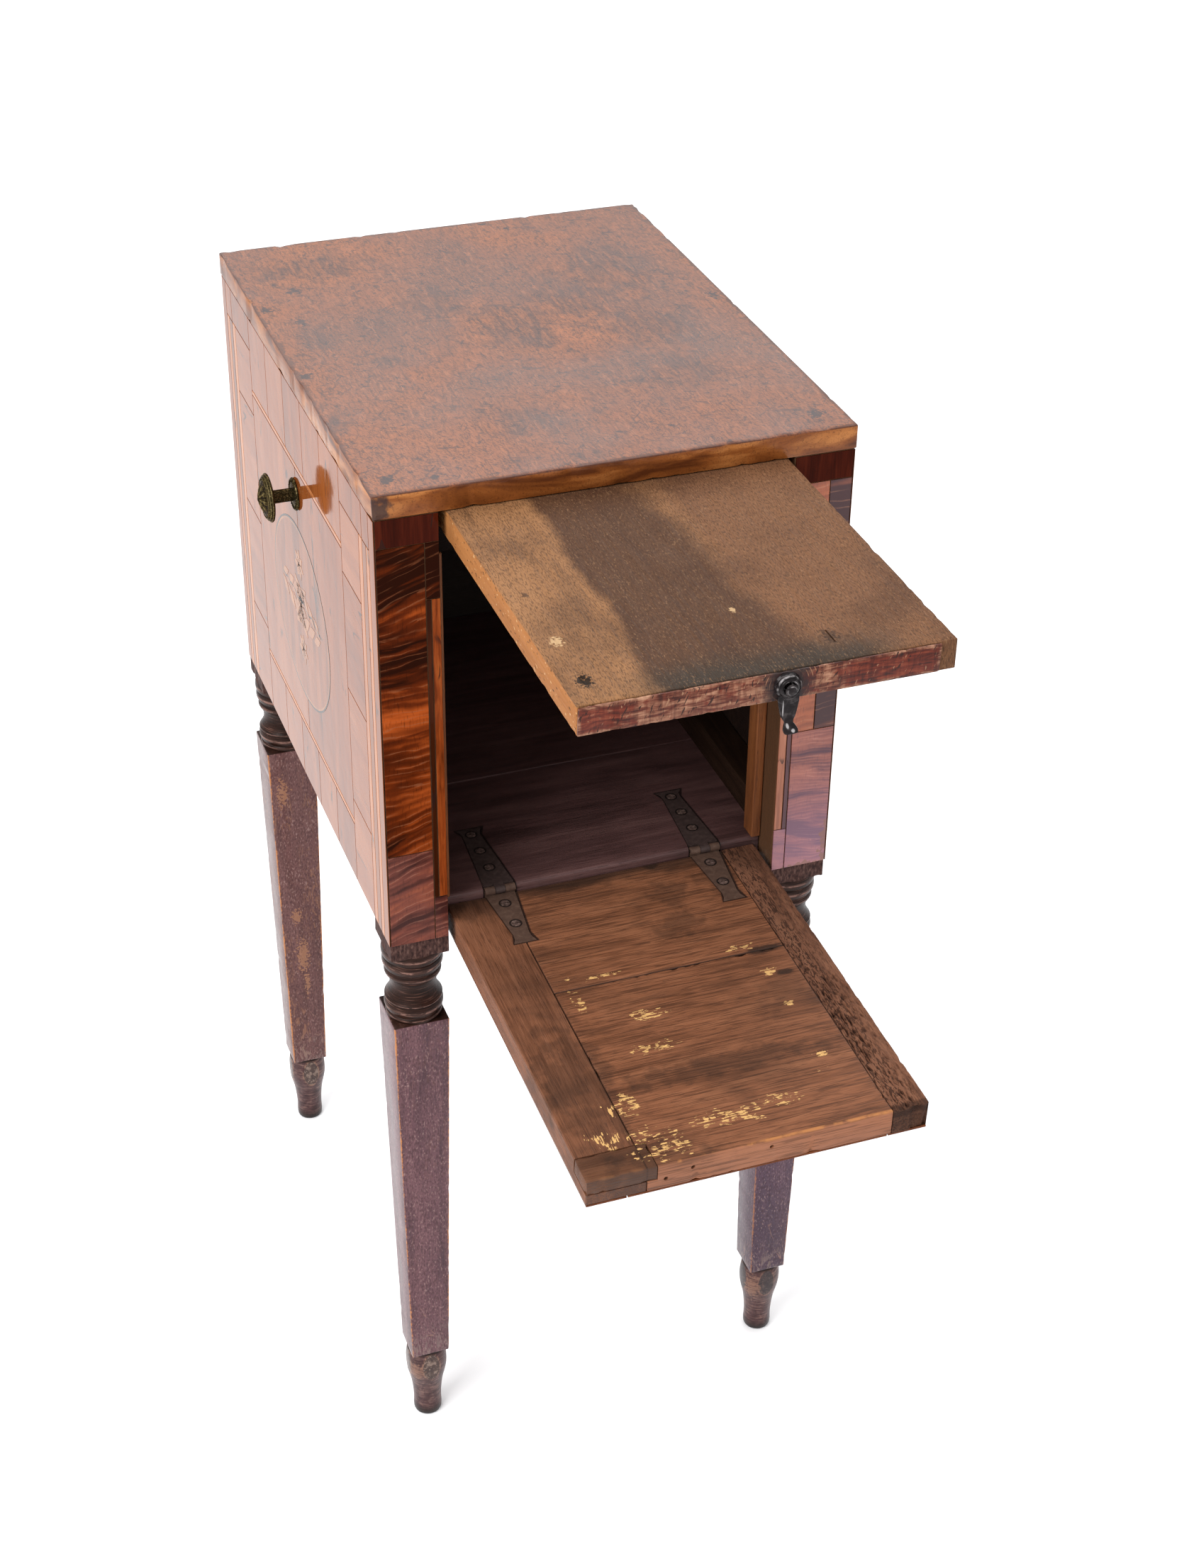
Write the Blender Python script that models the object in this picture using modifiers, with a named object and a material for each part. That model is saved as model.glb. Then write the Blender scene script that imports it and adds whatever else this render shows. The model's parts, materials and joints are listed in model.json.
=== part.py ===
"""Bedside cupboard on turned and tapered legs.

A narrow veneered cupboard with a fall-front door hinged at its floor, a pull-out slide under the
top, and a turn-button on the slide's edge that keeps the closed door shut. It is shown in use, with
the slide pulled out and the door let down. Lengths are in metres, +Z is up and the front faces -Y.
The origin is on the floor, under the middle of the open cupboard's outline.
"""

import math

import bmesh
import bpy
from mathutils import Matrix, Vector

# Case and top board
HEIGHT = 0.780
TOP_WIDTH = 0.311
TOP_DEPTH = 0.3986
TOP_THICK = 0.016
TOP_CORNER = 0.003
TOP_EDGE = 0.0012
CASE_WIDTH = 0.310
CASE_DEPTH = 0.398
CASE_BOTTOM = 0.452
PANEL_THICK = 0.018
BACK_THICK = 0.014
BACK_INSET = 0.007
BACK_SEAM = 0.607
TONGUE_THICK = 0.008
TONGUE_LENGTH = 0.008

# Legs: a square post, a turned neck, a square taper and a turned foot
POST = 0.0405
POST_END = 0.4392
SQUARE_START = 0.383
SQUARE_START_WIDTH = 0.0387
BASE_TALL = 0.0035
SQUARE_END = 0.0675
SQUARE_END_WIDTH = 0.028
ARRIS = 0.0009
TURNING_CLEAR = 0.032
TURNING_STEPS = 20
ARC_FACETS = 4
RING_FACETS = 3
# Turned stretches of a leg: start and end as radius and height, and the swell between them
LEG_SHOULDER = ((0.0202, POST_END), (0.0203, 0.4316), 0.0006, RING_FACETS)
LEG_TORUS = ((0.0198, 0.4304), (0.0190, 0.4217), 0.0010, RING_FACETS)
LEG_UPPER_RING = ((0.0186, 0.4210), (0.0182, 0.4158), 0.0010)
LEG_NECK = ((0.0166, 0.4136), (0.0193, 0.3974), -0.0021)
LEG_LOWER_RING = ((0.0188, 0.3962), (0.0188, 0.3872), 0.0012)
LEG_BASE = ((0.0183, SQUARE_START + BASE_TALL), (0.0192, SQUARE_START))
LEG_LIP = (0.0133, SQUARE_END - 0.0005)
LEG_COLLAR = ((0.0140, SQUARE_END - 0.0020), (0.0128, 0.0360), 0.0017)
LEG_ANKLE = ((0.0119, 0.0310), (0.0103, 0.0040), -0.0004)
FOOT_R = 0.0094

# Floor of the cupboard and the battens inside
FLOOR_TOP = 0.468
FLOOR_THICK = 0.016
FLOOR_FRONT = -0.177
FLOOR_SEAM = -0.048
FLOOR_NOSE = 0.003
NOSE_FACETS = 4
RAIL_TALL = 0.022
STOP_WIDTH = 0.0067
STOP_FRONT = -0.179
STOP_DEEP = 0.014
RUNNER_WIDTH = 0.0387
RUNNER_TALL = 0.019
RUNNER_FRONT = -0.1785

# Slide
SLIDE_WIDTH = 0.2195
SLIDE_THICK = 0.0185
SLIDE_HEADROOM = 0.0005
SLIDE_BACK = 0.173
SLIDE_OUT = 0.233
SLIDE_EDGE = 0.0010
EDGE_VENEER = 0.0016
EDGE_BARE_END = 0.010

# Turn-button on the slide's front edge
LATCH_X = 0.0086
LATCH_DROP = 0.0087
LATCH_HEAD_R = 0.0075
LATCH_WAIST = 0.0080
LATCH_LENGTH = 0.0225
LATCH_THICK = 0.0030
LATCH_OFF = 0.0018
LATCH_BOSS_R = 0.0053
LATCH_BOSS = 0.0010
LATCH_SCREW_R = 0.0020
LATCH_CURL_R = 0.0026
LATCH_STEPS = 20
RIVET_RISE = 0.0010
RIVET_EDGE = 0.0006
WASHER_R = 0.0080
WASHER_THICK = 0.0012

# Door and hinges; the door's own height 0 is the pin line
PIN_Y = -0.1765
PIN_DROP = 0.0028
DOOR_OPEN = math.radians(91.8)
DOOR_WIDTH = 0.2196
DOOR_FOOT = 0.0016
DOOR_TOP = 0.278
DOOR_SET = 0.003
DOOR_THICK = 0.0195
DOOR_VENEER = 0.0015
LEFT_BATTEN = 0.0378
RIGHT_BATTEN = 0.0235
DOOR_SEAM = 0.110
CORNER_BLOCK = (0.0443, 0.0215, 0.010)
HINGE_X = (-0.0725, 0.0740)
HINGE_WIDTH = 0.021
LEAF_THICK = 0.002
KNUCKLE_R = 0.0028
PIN_R = 0.0011
PIN_CLEAR = 0.00005
FLOOR_LEAF = (0.070, 0.0126, 0.0190, 0.008)
DOOR_LEAF = (0.055, 0.0110, 0.0155, 0.009)
FLOOR_SCREWS = (0.0225, 0.0430, 0.0630)
DOOR_SCREWS = (0.0120, 0.0345)
SCREW_HEAD_R = 0.0034
SCREW_SHANK_R = 0.0015
SCREW_LENGTH = 0.0125
SCREW_DOME = 0.00025
SCREW_STEPS = 10
SLOT = (0.0010, 0.0008)

# Knob on the left side
KNOB_AT = (0.001, 0.686)
KNOB_REACH = 0.0265
KNOB_R = 0.0166
KNOB_DOME = 0.0048
KNOB_SWELL = 0.0012
KNOB_STEPS = 24
RIM_STEP = 0.0010
STEM_R = 0.0045
ROSETTE_R = 0.01125
ROSETTE_THICK = 0.0023
ROD_R = 0.0025
NUT_R = 0.0055
NUT_THICK = 0.004

# Fits: a joint's gap, a glued joint, a shoulder's undercut, small edge rounding
GAP = 0.0003
GLUE = 0.0001
UNDERCUT = 0.0002
EDGE = 0.0007

# Worked out from the sizes above
HALF_W = CASE_WIDTH / 2
HALF_D = CASE_DEPTH / 2
UNDER_TOP = HEIGHT - TOP_THICK
POST_X = HALF_W - POST / 2
POST_Y = HALF_D - POST / 2
INNER_X = HALF_W - POST
INNER_Y = HALF_D - POST
PANEL_IN = HALF_W - PANEL_THICK
BACK_IN = HALF_D - BACK_INSET - BACK_THICK
SLIDE_TOP = UNDER_TOP - SLIDE_HEADROOM
SLIDE_UNDER = SLIDE_TOP - SLIDE_THICK
PIN_Z = FLOOR_TOP - PIN_DROP
DOOR_REACH = DOOR_TOP * math.sin(DOOR_OPEN) + DOOR_SET * math.cos(DOOR_OPEN) - PIN_Y
CENTRE = ((HALF_W + KNOB_REACH - TOP_WIDTH / 2) / 2, (DOOR_REACH - TOP_DEPTH / 2) / 2, 0.0)

# Finishes: colour, roughness, metallic
WALNUT = ((0.20, 0.075, 0.035), 0.35, 0.0)
TOP_WOOD = ((0.26, 0.095, 0.045), 0.40, 0.0)
STAINED = ((0.075, 0.035, 0.030), 0.50, 0.0)
PINE = ((0.16, 0.075, 0.038), 0.75, 0.0)
RAW_WOOD = ((0.27, 0.165, 0.095), 0.80, 0.0)
DARK_WOOD = ((0.045, 0.026, 0.022), 0.75, 0.0)
RED_EDGE = ((0.16, 0.035, 0.020), 0.55, 0.0)
RUSTY_IRON = ((0.085, 0.050, 0.036), 0.70, 0.8)
DARK_IRON = ((0.030, 0.024, 0.022), 0.35, 0.9)
OLD_BRASS = ((0.17, 0.12, 0.055), 0.38, 1.0)

PARTS = None
CUTTERS = None


def clear_scene():
    """Remove every object and make the two collections."""
    global PARTS, CUTTERS
    for thing in list(bpy.data.objects):
        bpy.data.objects.remove(thing, do_unlink=True)
    PARTS = bpy.data.collections.new("nightstand")
    CUTTERS = bpy.data.collections.new("cutters")
    for group in (PARTS, CUTTERS):
        bpy.context.scene.collection.children.link(group)


def frame_empty(name, parent=None, location=(0, 0, 0), turn_x=0.0):
    """Make an empty that carries the pieces of one body."""
    empty = bpy.data.objects.new(name, None)
    PARTS.objects.link(empty)
    empty.parent = parent
    empty.location = location
    empty.rotation_euler = (turn_x, 0, 0)
    return empty


def add_piece(name, mesh, parent, finish, location=(0, 0, 0), rotation=(0, 0, 0)):
    """Make a named piece with its own material."""
    piece = bpy.data.objects.new(name, mesh)
    PARTS.objects.link(piece)
    piece.parent = parent
    piece.location = location
    piece.rotation_euler = rotation
    colour, roughness, metallic = finish
    material = bpy.data.materials.new(name)
    material.use_nodes = True
    shader = material.node_tree.nodes["Principled BSDF"]
    shader.inputs["Base Color"].default_value = (*colour, 1)
    shader.inputs["Roughness"].default_value = roughness
    shader.inputs["Metallic"].default_value = metallic
    material.diffuse_color = (*colour, 1)
    piece.data = mesh.copy()
    piece.data.materials.append(material)
    return piece


def add_cutter(name, mesh, parent, location=(0, 0, 0), rotation=(0, 0, 0)):
    """Make a hidden tool that is only used in a Boolean."""
    tool = bpy.data.objects.new(name, mesh)
    CUTTERS.objects.link(tool)
    tool.parent = parent
    tool.location = location
    tool.rotation_euler = rotation
    tool.hide_render = True
    tool.display_type = "WIRE"
    return tool


def boolean(target, tool, operation="DIFFERENCE"):
    """Cut, join or intersect a piece with a tool."""
    step = target.modifiers.new(tool.name, "BOOLEAN")
    step.operation = operation
    step.object = tool
    step.solver = "EXACT"


def round_edges(piece, width=EDGE, segments=1):
    """Round the sharp edges of a piece a little."""
    bevel = piece.modifiers.new("rounded edges", "BEVEL")
    bevel.width = width
    bevel.segments = segments
    bevel.limit_method = "ANGLE"
    bevel.angle_limit = math.radians(40)


def round_nose(piece, radius, facets):
    """Round the upper front edge of a board into a nosing."""
    mesh = piece.data
    top = max(vert.co.z for vert in mesh.vertices)
    front = min(vert.co.y for vert in mesh.vertices)
    weights = mesh.attributes.new("bevel_weight_edge", "FLOAT", "EDGE")
    for edge in mesh.edges:
        ends = [mesh.vertices[number].co for number in edge.vertices]
        if all(top - end.z < GAP and end.y - front < GAP for end in ends):
            weights.data[edge.index].value = 1.0
    bevel = piece.modifiers.new("nosing", "BEVEL")
    bevel.width = radius
    bevel.segments = facets
    bevel.limit_method = "WEIGHT"


def screw_mod(piece, steps=TURNING_STEPS):
    """Turn a profile about its own Z axis."""
    turn = piece.modifiers.new("turned", "SCREW")
    turn.steps = steps
    turn.render_steps = steps
    turn.use_merge_vertices = True
    turn.merge_threshold = 0.00001
    turn.use_smooth_shade = True


def box_mesh(low, high):
    """Make a box between two corners."""
    mesh = bpy.data.meshes.new("box")
    shape = bmesh.new()
    middle = (Vector(low) + Vector(high)) / 2
    size = Vector(high) - Vector(low)
    place = Matrix.Translation(middle) @ Matrix.Diagonal((*size, 1))
    bmesh.ops.create_cube(shape, size=1, matrix=place)
    shape.to_mesh(mesh)
    shape.free()
    return mesh


def cylinder_mesh(radius, low, high, axis="Z", end_radius=None, sides=20):
    """Make a cylinder or cone between two heights along an axis."""
    mesh = bpy.data.meshes.new("cylinder")
    shape = bmesh.new()
    turn = Matrix.Rotation(math.pi / 2, 4, "Y") if axis == "X" else Matrix.Identity(4)
    place = turn @ Matrix.Translation((0, 0, (low + high) / 2))
    last = radius if end_radius is None else end_radius
    bmesh.ops.create_cone(shape, cap_ends=True, segments=sides, radius1=radius, radius2=last,
                          depth=high - low, matrix=place)
    shape.to_mesh(mesh)
    shape.free()
    return mesh


def slab_mesh(outline, low, high):
    """Make a flat piece of an outline in XY between two heights."""
    curve = bpy.data.curves.new("outline", "CURVE")
    curve.dimensions = "2D"
    curve.fill_mode = "BOTH"
    curve.extrude = (high - low) / 2
    line = curve.splines.new("POLY")
    line.points.add(len(outline) - 1)
    line.use_cyclic_u = True
    for point, (x, y) in zip(line.points, outline):
        point.co = (x, y, 0, 1)
    holder = bpy.data.objects.new("outline", curve)
    bpy.context.scene.collection.objects.link(holder)
    graph = bpy.context.evaluated_depsgraph_get()
    mesh = bpy.data.meshes.new_from_object(holder.evaluated_get(graph))
    bpy.data.objects.remove(holder, do_unlink=True)
    shape = bmesh.new()
    shape.from_mesh(mesh)
    bmesh.ops.remove_doubles(shape, verts=shape.verts, dist=0.000005)
    bmesh.ops.translate(shape, verts=shape.verts, vec=(0, 0, (low + high) / 2))
    bmesh.ops.dissolve_limit(shape, angle_limit=0.001, verts=shape.verts, edges=shape.edges)
    bmesh.ops.recalc_face_normals(shape, faces=shape.faces)
    shape.to_mesh(mesh)
    shape.free()
    return mesh


def profile_mesh(points, closed=False):
    """Make an edge profile of radius and height pairs for turning."""
    mesh = bpy.data.meshes.new("profile")
    shape = bmesh.new()
    verts = [shape.verts.new((radius, 0, height)) for radius, height in points]
    for first, second in zip(verts, verts[1:]):
        shape.edges.new((first, second))
    if closed:
        shape.edges.new((verts[-1], verts[0]))
    shape.to_mesh(mesh)
    shape.free()
    return mesh


def arc(start, end, swell, facets=ARC_FACETS):
    """Give the points of a curved stretch that swells outward between two points."""
    points = []
    for step in range(facets + 1):
        part = step / facets
        radius = start[0] + (end[0] - start[0]) * part + 4 * swell * part * (1 - part)
        points.append((radius, start[1] + (end[1] - start[1]) * part))
    return points


def evaluated_mesh(piece):
    """Give the mesh of a piece with its modifiers applied."""
    graph = bpy.context.evaluated_depsgraph_get()
    return bpy.data.meshes.new_from_object(piece.evaluated_get(graph))


def board(name, low, high, parent, finish, edge=EDGE, segments=1):
    """Make a board between two corners with slightly rounded edges."""
    piece = add_piece(name, box_mesh(low, high), parent, finish)
    round_edges(piece, edge, segments)
    return piece


def mirrored(outline):
    """Give the outline of the left piece from that of the right one."""
    return [(-x, y) for x, y in reversed(outline)]


def smooth(piece, angle=35):
    """Shade a piece smooth with sharp edges kept."""
    piece.data.shade_smooth()
    piece.data.set_sharp_from_angle(angle=math.radians(angle))


def leg_turning_profile():
    """Give the outline that the lathe leaves on a leg, from top to foot.

    The turned outline stands clear of the square wood where the leg stays square.
    """
    points = [(0, HEIGHT), (TURNING_CLEAR, HEIGHT), (TURNING_CLEAR, POST_END)]
    for stretch in (LEG_SHOULDER, LEG_TORUS, LEG_UPPER_RING, LEG_NECK, LEG_LOWER_RING):
        points += arc(*stretch)
    points += [*LEG_BASE, (TURNING_CLEAR, SQUARE_START), (TURNING_CLEAR, SQUARE_END), LEG_LIP]
    for stretch in (LEG_COLLAR, LEG_ANKLE):
        points += arc(*stretch)
    return points + [(FOOT_R, 0), (0, 0)]


def leg_blank_mesh():
    """Make the planed stick that a leg is turned from: square post and square taper."""
    mesh = bpy.data.meshes.new("leg blank")
    shape = bmesh.new()
    sections = ((SQUARE_START + BASE_TALL, POST), (SQUARE_START + GAP, SQUARE_START_WIDTH),
                (SQUARE_END - GAP, SQUARE_END_WIDTH), (-BASE_TALL, SQUARE_END_WIDTH))
    at_top = Matrix.Translation((0, 0, UNDER_TOP - GAP))
    grid = bmesh.ops.create_grid(shape, x_segments=1, y_segments=1, size=POST / 2, matrix=at_top)
    face = grid["verts"][0].link_faces[0]
    width = POST
    for number, (height, new_width) in enumerate(sections):
        grown = bmesh.ops.extrude_face_region(shape, geom=[face])
        if number > 0:
            bmesh.ops.delete(shape, geom=[face], context="FACES_ONLY")
        verts = [item for item in grown["geom"] if isinstance(item, bmesh.types.BMVert)]
        for vert in verts:
            vert.co.x *= new_width / width
            vert.co.y *= new_width / width
            vert.co.z = height
        face = next(item for item in grown["geom"] if isinstance(item, bmesh.types.BMFace))
        width = new_width
    bmesh.ops.remove_doubles(shape, verts=shape.verts, dist=0.000001)
    arrises = [edge for edge in shape.edges
               if abs(edge.verts[0].co.z - edge.verts[1].co.z) > GAP]
    bmesh.ops.bevel(shape, geom=arrises, offset=ARRIS, segments=1, affect="EDGES")
    bmesh.ops.recalc_face_normals(shape, faces=shape.faces)
    shape.to_mesh(mesh)
    shape.free()
    return mesh


def build_legs(case):
    """Make the four legs, grooved for the panels that they hold."""
    blank = leg_blank_mesh()
    profile = profile_mesh(leg_turning_profile())
    depth = TONGUE_LENGTH + GAP
    width = TONGUE_THICK / 2 + GAP
    panel_mid = HALF_W - PANEL_THICK / 2
    back_mid = HALF_D - BACK_INSET - BACK_THICK / 2
    for end, y_sign in (("front", -1), ("back", 1)):
        for side, x_sign in (("left", -1), ("right", 1)):
            name = f"{end}_{side}_leg"
            axis = (x_sign * POST_X, y_sign * POST_Y, 0)
            leg = add_piece(name, blank, case, STAINED, axis)
            lathe = add_cutter(f"{name}_lathe", profile, case, axis)
            screw_mod(lathe)
            boolean(leg, lathe, "INTERSECT")
            middle = Vector((x_sign * panel_mid, y_sign * INNER_Y, 0))
            half = Vector((width, depth, 0))
            groove = box_mesh(middle - half + Vector((0, 0, CASE_BOTTOM - GAP)),
                              middle + half + Vector((0, 0, HEIGHT)))
            boolean(leg, add_cutter(f"{name}_side_groove", groove, case))
            if end == "back":
                middle = Vector((x_sign * INNER_X, back_mid, 0))
                half = Vector((depth, width, 0))
                groove = box_mesh(middle - half + Vector((0, 0, CASE_BOTTOM - GAP)),
                                  middle + half + Vector((0, 0, HEIGHT)))
                boolean(leg, add_cutter(f"{name}_back_groove", groove, case))
            smooth(leg)


def tongued_outline(half_length, low, high):
    """Give the plan of a panel along Y with a tongue at each end."""
    middle = (low + high) / 2
    thin = TONGUE_THICK / 2
    tip = half_length + TONGUE_LENGTH
    root = half_length - UNDERCUT
    right_end = [(low, half_length), (middle - thin, root), (middle - thin, tip),
                 (middle + thin, tip), (middle + thin, root), (high, half_length)]
    return [(x, -y) for x, y in right_end] + right_end[::-1]


def build_panels(case):
    """Make the side panels and the two back boards."""
    bottom = CASE_BOTTOM
    top = UNDER_TOP - GAP
    plan = tongued_outline(INNER_Y - GAP, PANEL_IN, HALF_W)
    right = add_piece("right_side_panel", slab_mesh(plan, bottom, top), case, WALNUT)
    round_edges(right)
    left = add_piece("left_side_panel", slab_mesh(mirrored(plan), bottom, top), case, WALNUT)
    round_edges(left)
    hole = cylinder_mesh(ROD_R + GAP, -PANEL_THICK, PANEL_THICK, "X")
    boolean(left, add_cutter("knob_hole", hole, case, (-HALF_W, *KNOB_AT)))
    across = tongued_outline(INNER_X - GAP, BACK_IN, BACK_IN + BACK_THICK)
    plan = [(y, x) for x, y in across]
    for name, low, high in (("lower_back_board", bottom, BACK_SEAM - GAP),
                            ("upper_back_board", BACK_SEAM, top)):
        piece = add_piece(name, slab_mesh(plan, low, high), case, PINE)
        round_edges(piece)


def notched_outline(side, notch, low, shoulder_low, shoulder_high, high):
    """Give the plan of a board that is narrower at one or both ends to pass the posts."""
    right = [(notch, low), (notch, shoulder_low + UNDERCUT)] if low < shoulder_low else []
    right += [(side, shoulder_low), (side, shoulder_high)]
    right += [(notch, shoulder_high - UNDERCUT), (notch, high)] if high > shoulder_high else []
    return right + [(-x, y) for x, y in reversed(right)]


def build_floor(case):
    """Make the floor boards, the rails along them and the door stops."""
    low = FLOOR_TOP - FLOOR_THICK
    side = PANEL_IN - GAP
    notch = INNER_X - GAP
    shoulder = INNER_Y - GAP
    front_plan = notched_outline(side, notch, FLOOR_FRONT, -shoulder, FLOOR_SEAM, FLOOR_SEAM)
    front = add_piece("front_floor_board", slab_mesh(front_plan, low, FLOOR_TOP), case, DARK_WOOD)
    round_nose(front, FLOOR_NOSE, NOSE_FACETS)
    round_edges(front)
    back_start = FLOOR_SEAM + GAP
    back_plan = notched_outline(side, notch, back_start, back_start, shoulder, BACK_IN - GAP)
    back = add_piece("back_floor_board", slab_mesh(back_plan, low, FLOOR_TOP), case, DARK_WOOD)
    round_edges(back)
    for name, sign in (("left", -1), ("right", 1)):
        rail = [sign * (INNER_X + GAP), sign * side]
        board(f"{name}_floor_rail", (min(rail), -shoulder, FLOOR_TOP + GAP),
              (max(rail), shoulder, FLOOR_TOP + RAIL_TALL), case, DARK_WOOD)
        stop = [sign * (notch - STOP_WIDTH), sign * notch]
        board(f"{name}_door_stop", (min(stop), STOP_FRONT, FLOOR_TOP + GAP),
              (max(stop), STOP_FRONT + STOP_DEEP, SLIDE_UNDER - RUNNER_TALL - 2 * GAP), case, PINE)
    return front


def build_slide_ways(case):
    """Make the runners that the slide rests on and the guides beside it."""
    shoulder = INNER_Y - GAP
    side = PANEL_IN - GAP
    inner = side - RUNNER_WIDTH
    notch = INNER_X - GAP
    plan = [(inner, RUNNER_FRONT), (notch, RUNNER_FRONT), (notch, -shoulder), (side, -shoulder),
            (side, shoulder), (inner, shoulder)]
    top = SLIDE_UNDER - GAP
    guide = SLIDE_WIDTH / 2 + 2 * GAP
    for name, outline, sign in (("right", plan, 1), ("left", mirrored(plan), -1)):
        mesh = slab_mesh(outline, top - RUNNER_TALL, top)
        round_edges(add_piece(f"{name}_slide_runner", mesh, case, DARK_WOOD))
        span = [sign * guide, sign * side]
        board(f"{name}_slide_guide", (min(span), -shoulder, top + GAP),
              (max(span), shoulder, UNDER_TOP - GAP), case, DARK_WOOD)


def build_top(case):
    """Make the top board with its slightly rounded corners."""
    x = TOP_WIDTH / 2 - TOP_CORNER
    y = TOP_DEPTH / 2 - TOP_CORNER
    plan = []
    for middle_x, middle_y, start in ((x, y, 0), (-x, y, 90), (-x, -y, 180), (x, -y, 270)):
        for step in (0, 45, 90):
            angle = math.radians(start + step)
            plan.append((middle_x + TOP_CORNER * math.cos(angle),
                         middle_y + TOP_CORNER * math.sin(angle)))
    top = add_piece("top_board", slab_mesh(plan, UNDER_TOP, HEIGHT), case, TOP_WOOD)
    round_edges(top, TOP_EDGE, 2)


def screw_solid(case):
    """Make the mesh of a slotted countersunk wood screw, head up, with its top at height 0."""
    points = [(0, SCREW_DOME), (SCREW_HEAD_R * 0.6, SCREW_DOME * 0.7), (SCREW_HEAD_R, 0),
              (SCREW_SHANK_R, -LEAF_THICK), (SCREW_SHANK_R, -SCREW_LENGTH * 0.7),
              (0, -SCREW_LENGTH)]
    pattern = add_cutter("screw_pattern", profile_mesh(points), case)
    screw_mod(pattern, SCREW_STEPS)
    half = SLOT[0] / 2
    slot = box_mesh((-SCREW_HEAD_R * 2, -half, -SLOT[1]), (SCREW_HEAD_R * 2, half, SCREW_HEAD_R))
    tool = add_cutter("screw_slot", slot, case)
    boolean(pattern, tool)
    mesh = evaluated_mesh(pattern)
    bpy.data.objects.remove(pattern, do_unlink=True)
    bpy.data.objects.remove(tool, do_unlink=True)
    return mesh


def leaf_outline(sizes, root, knuckle_spans, grow=0.0):
    """Give a hinge leaf's outline: tabs to the knuckles, a taper and a fishtail end.

    sizes holds the length, the neck's width, the tail's width and the tail's length. root is how far
    from the pin line the full width starts, and grow widens the outline for its recess.
    """
    length, neck, tail, tail_length = sizes
    wide = HINGE_WIDTH / 2 + grow
    neck_at = length - tail_length
    side = [(wide, root - grow), (neck / 2 + grow, neck_at),
            (neck / 2 * 1.08 + grow, neck_at + tail_length * 0.5), (tail / 2 + grow, length + grow)]
    outline = side + [(-x, s) for x, s in reversed(side)]
    for low, high in knuckle_spans:
        outline += [(low, root + UNDERCUT), (low, 0), (high, 0), (high, root + UNDERCUT)]
    return outline


def countersink(name, parent, location, rotation, deep):
    """Make the cutter of one screw's countersunk hole."""
    points = [(0, GAP), (SCREW_HEAD_R + GAP, GAP), (SCREW_HEAD_R + GAP, -GAP / 2),
              (SCREW_SHANK_R + GAP, -LEAF_THICK), (SCREW_SHANK_R + GAP, -deep), (0, -deep)]
    tool = add_cutter(name, profile_mesh(points), parent, location, rotation)
    screw_mod(tool, SCREW_STEPS)
    return tool


def build_floor_leaf(name, case, x, screw_mesh, floor):
    """Make one hinge leaf let into the floor, with its pin and screws."""
    tab = HINGE_WIDTH / 6 - GAP / 2
    root = KNUCKLE_R + GAP
    at = (x, PIN_Y, 0)
    outline = leaf_outline(FLOOR_LEAF, root, [(-tab, tab)])
    low = FLOOR_TOP - LEAF_THICK
    leaf = add_piece(f"{name}_hinge_floor_leaf", slab_mesh(outline, low, FLOOR_TOP), case,
                     RUSTY_IRON, at)
    knuckle = cylinder_mesh(KNUCKLE_R, -tab, tab, "X")
    boolean(leaf, add_cutter(f"{name}_floor_knuckle", knuckle, case, (x, PIN_Y, PIN_Z)), "UNION")
    bore = cylinder_mesh(PIN_R + PIN_CLEAR, -HINGE_WIDTH, HINGE_WIDTH, "X")
    boolean(leaf, add_cutter(f"{name}_floor_bore", bore, case, (x, PIN_Y, PIN_Z)))
    half = HINGE_WIDTH / 2 - GAP
    pin = add_piece(f"{name}_hinge_pin", cylinder_mesh(PIN_R, -half, half, "X"), case,
                    RUSTY_IRON, (x, PIN_Y, PIN_Z))
    smooth(pin)
    recess = leaf_outline(FLOOR_LEAF, root, [], GAP)
    tool = slab_mesh(recess, low - GAP, HEIGHT)
    boolean(floor, add_cutter(f"{name}_floor_recess", tool, case, at))
    wide = HINGE_WIDTH / 2 + 3 * GAP
    deep = DOOR_SET + LEAF_THICK + 2 * GAP
    notch = box_mesh((-wide, -FLOOR_THICK, -deep), (wide, root + GAP, FLOOR_THICK))
    boolean(floor, add_cutter(f"{name}_floor_notch", notch, case, (x, PIN_Y, PIN_Z)))
    for number, reach in enumerate(FLOOR_SCREWS, 1):
        spot = (x, PIN_Y + reach, FLOOR_TOP)
        hole = countersink(f"{name}_floor_hole_{number}", case, spot, (0, 0, 0),
                           SCREW_LENGTH + GAP)
        boolean(leaf, hole)
        boolean(floor, hole)
        add_piece(f"{name}_hinge_floor_screw_{number}", screw_mesh, case, RUSTY_IRON, spot)
    smooth(leaf)


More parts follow.
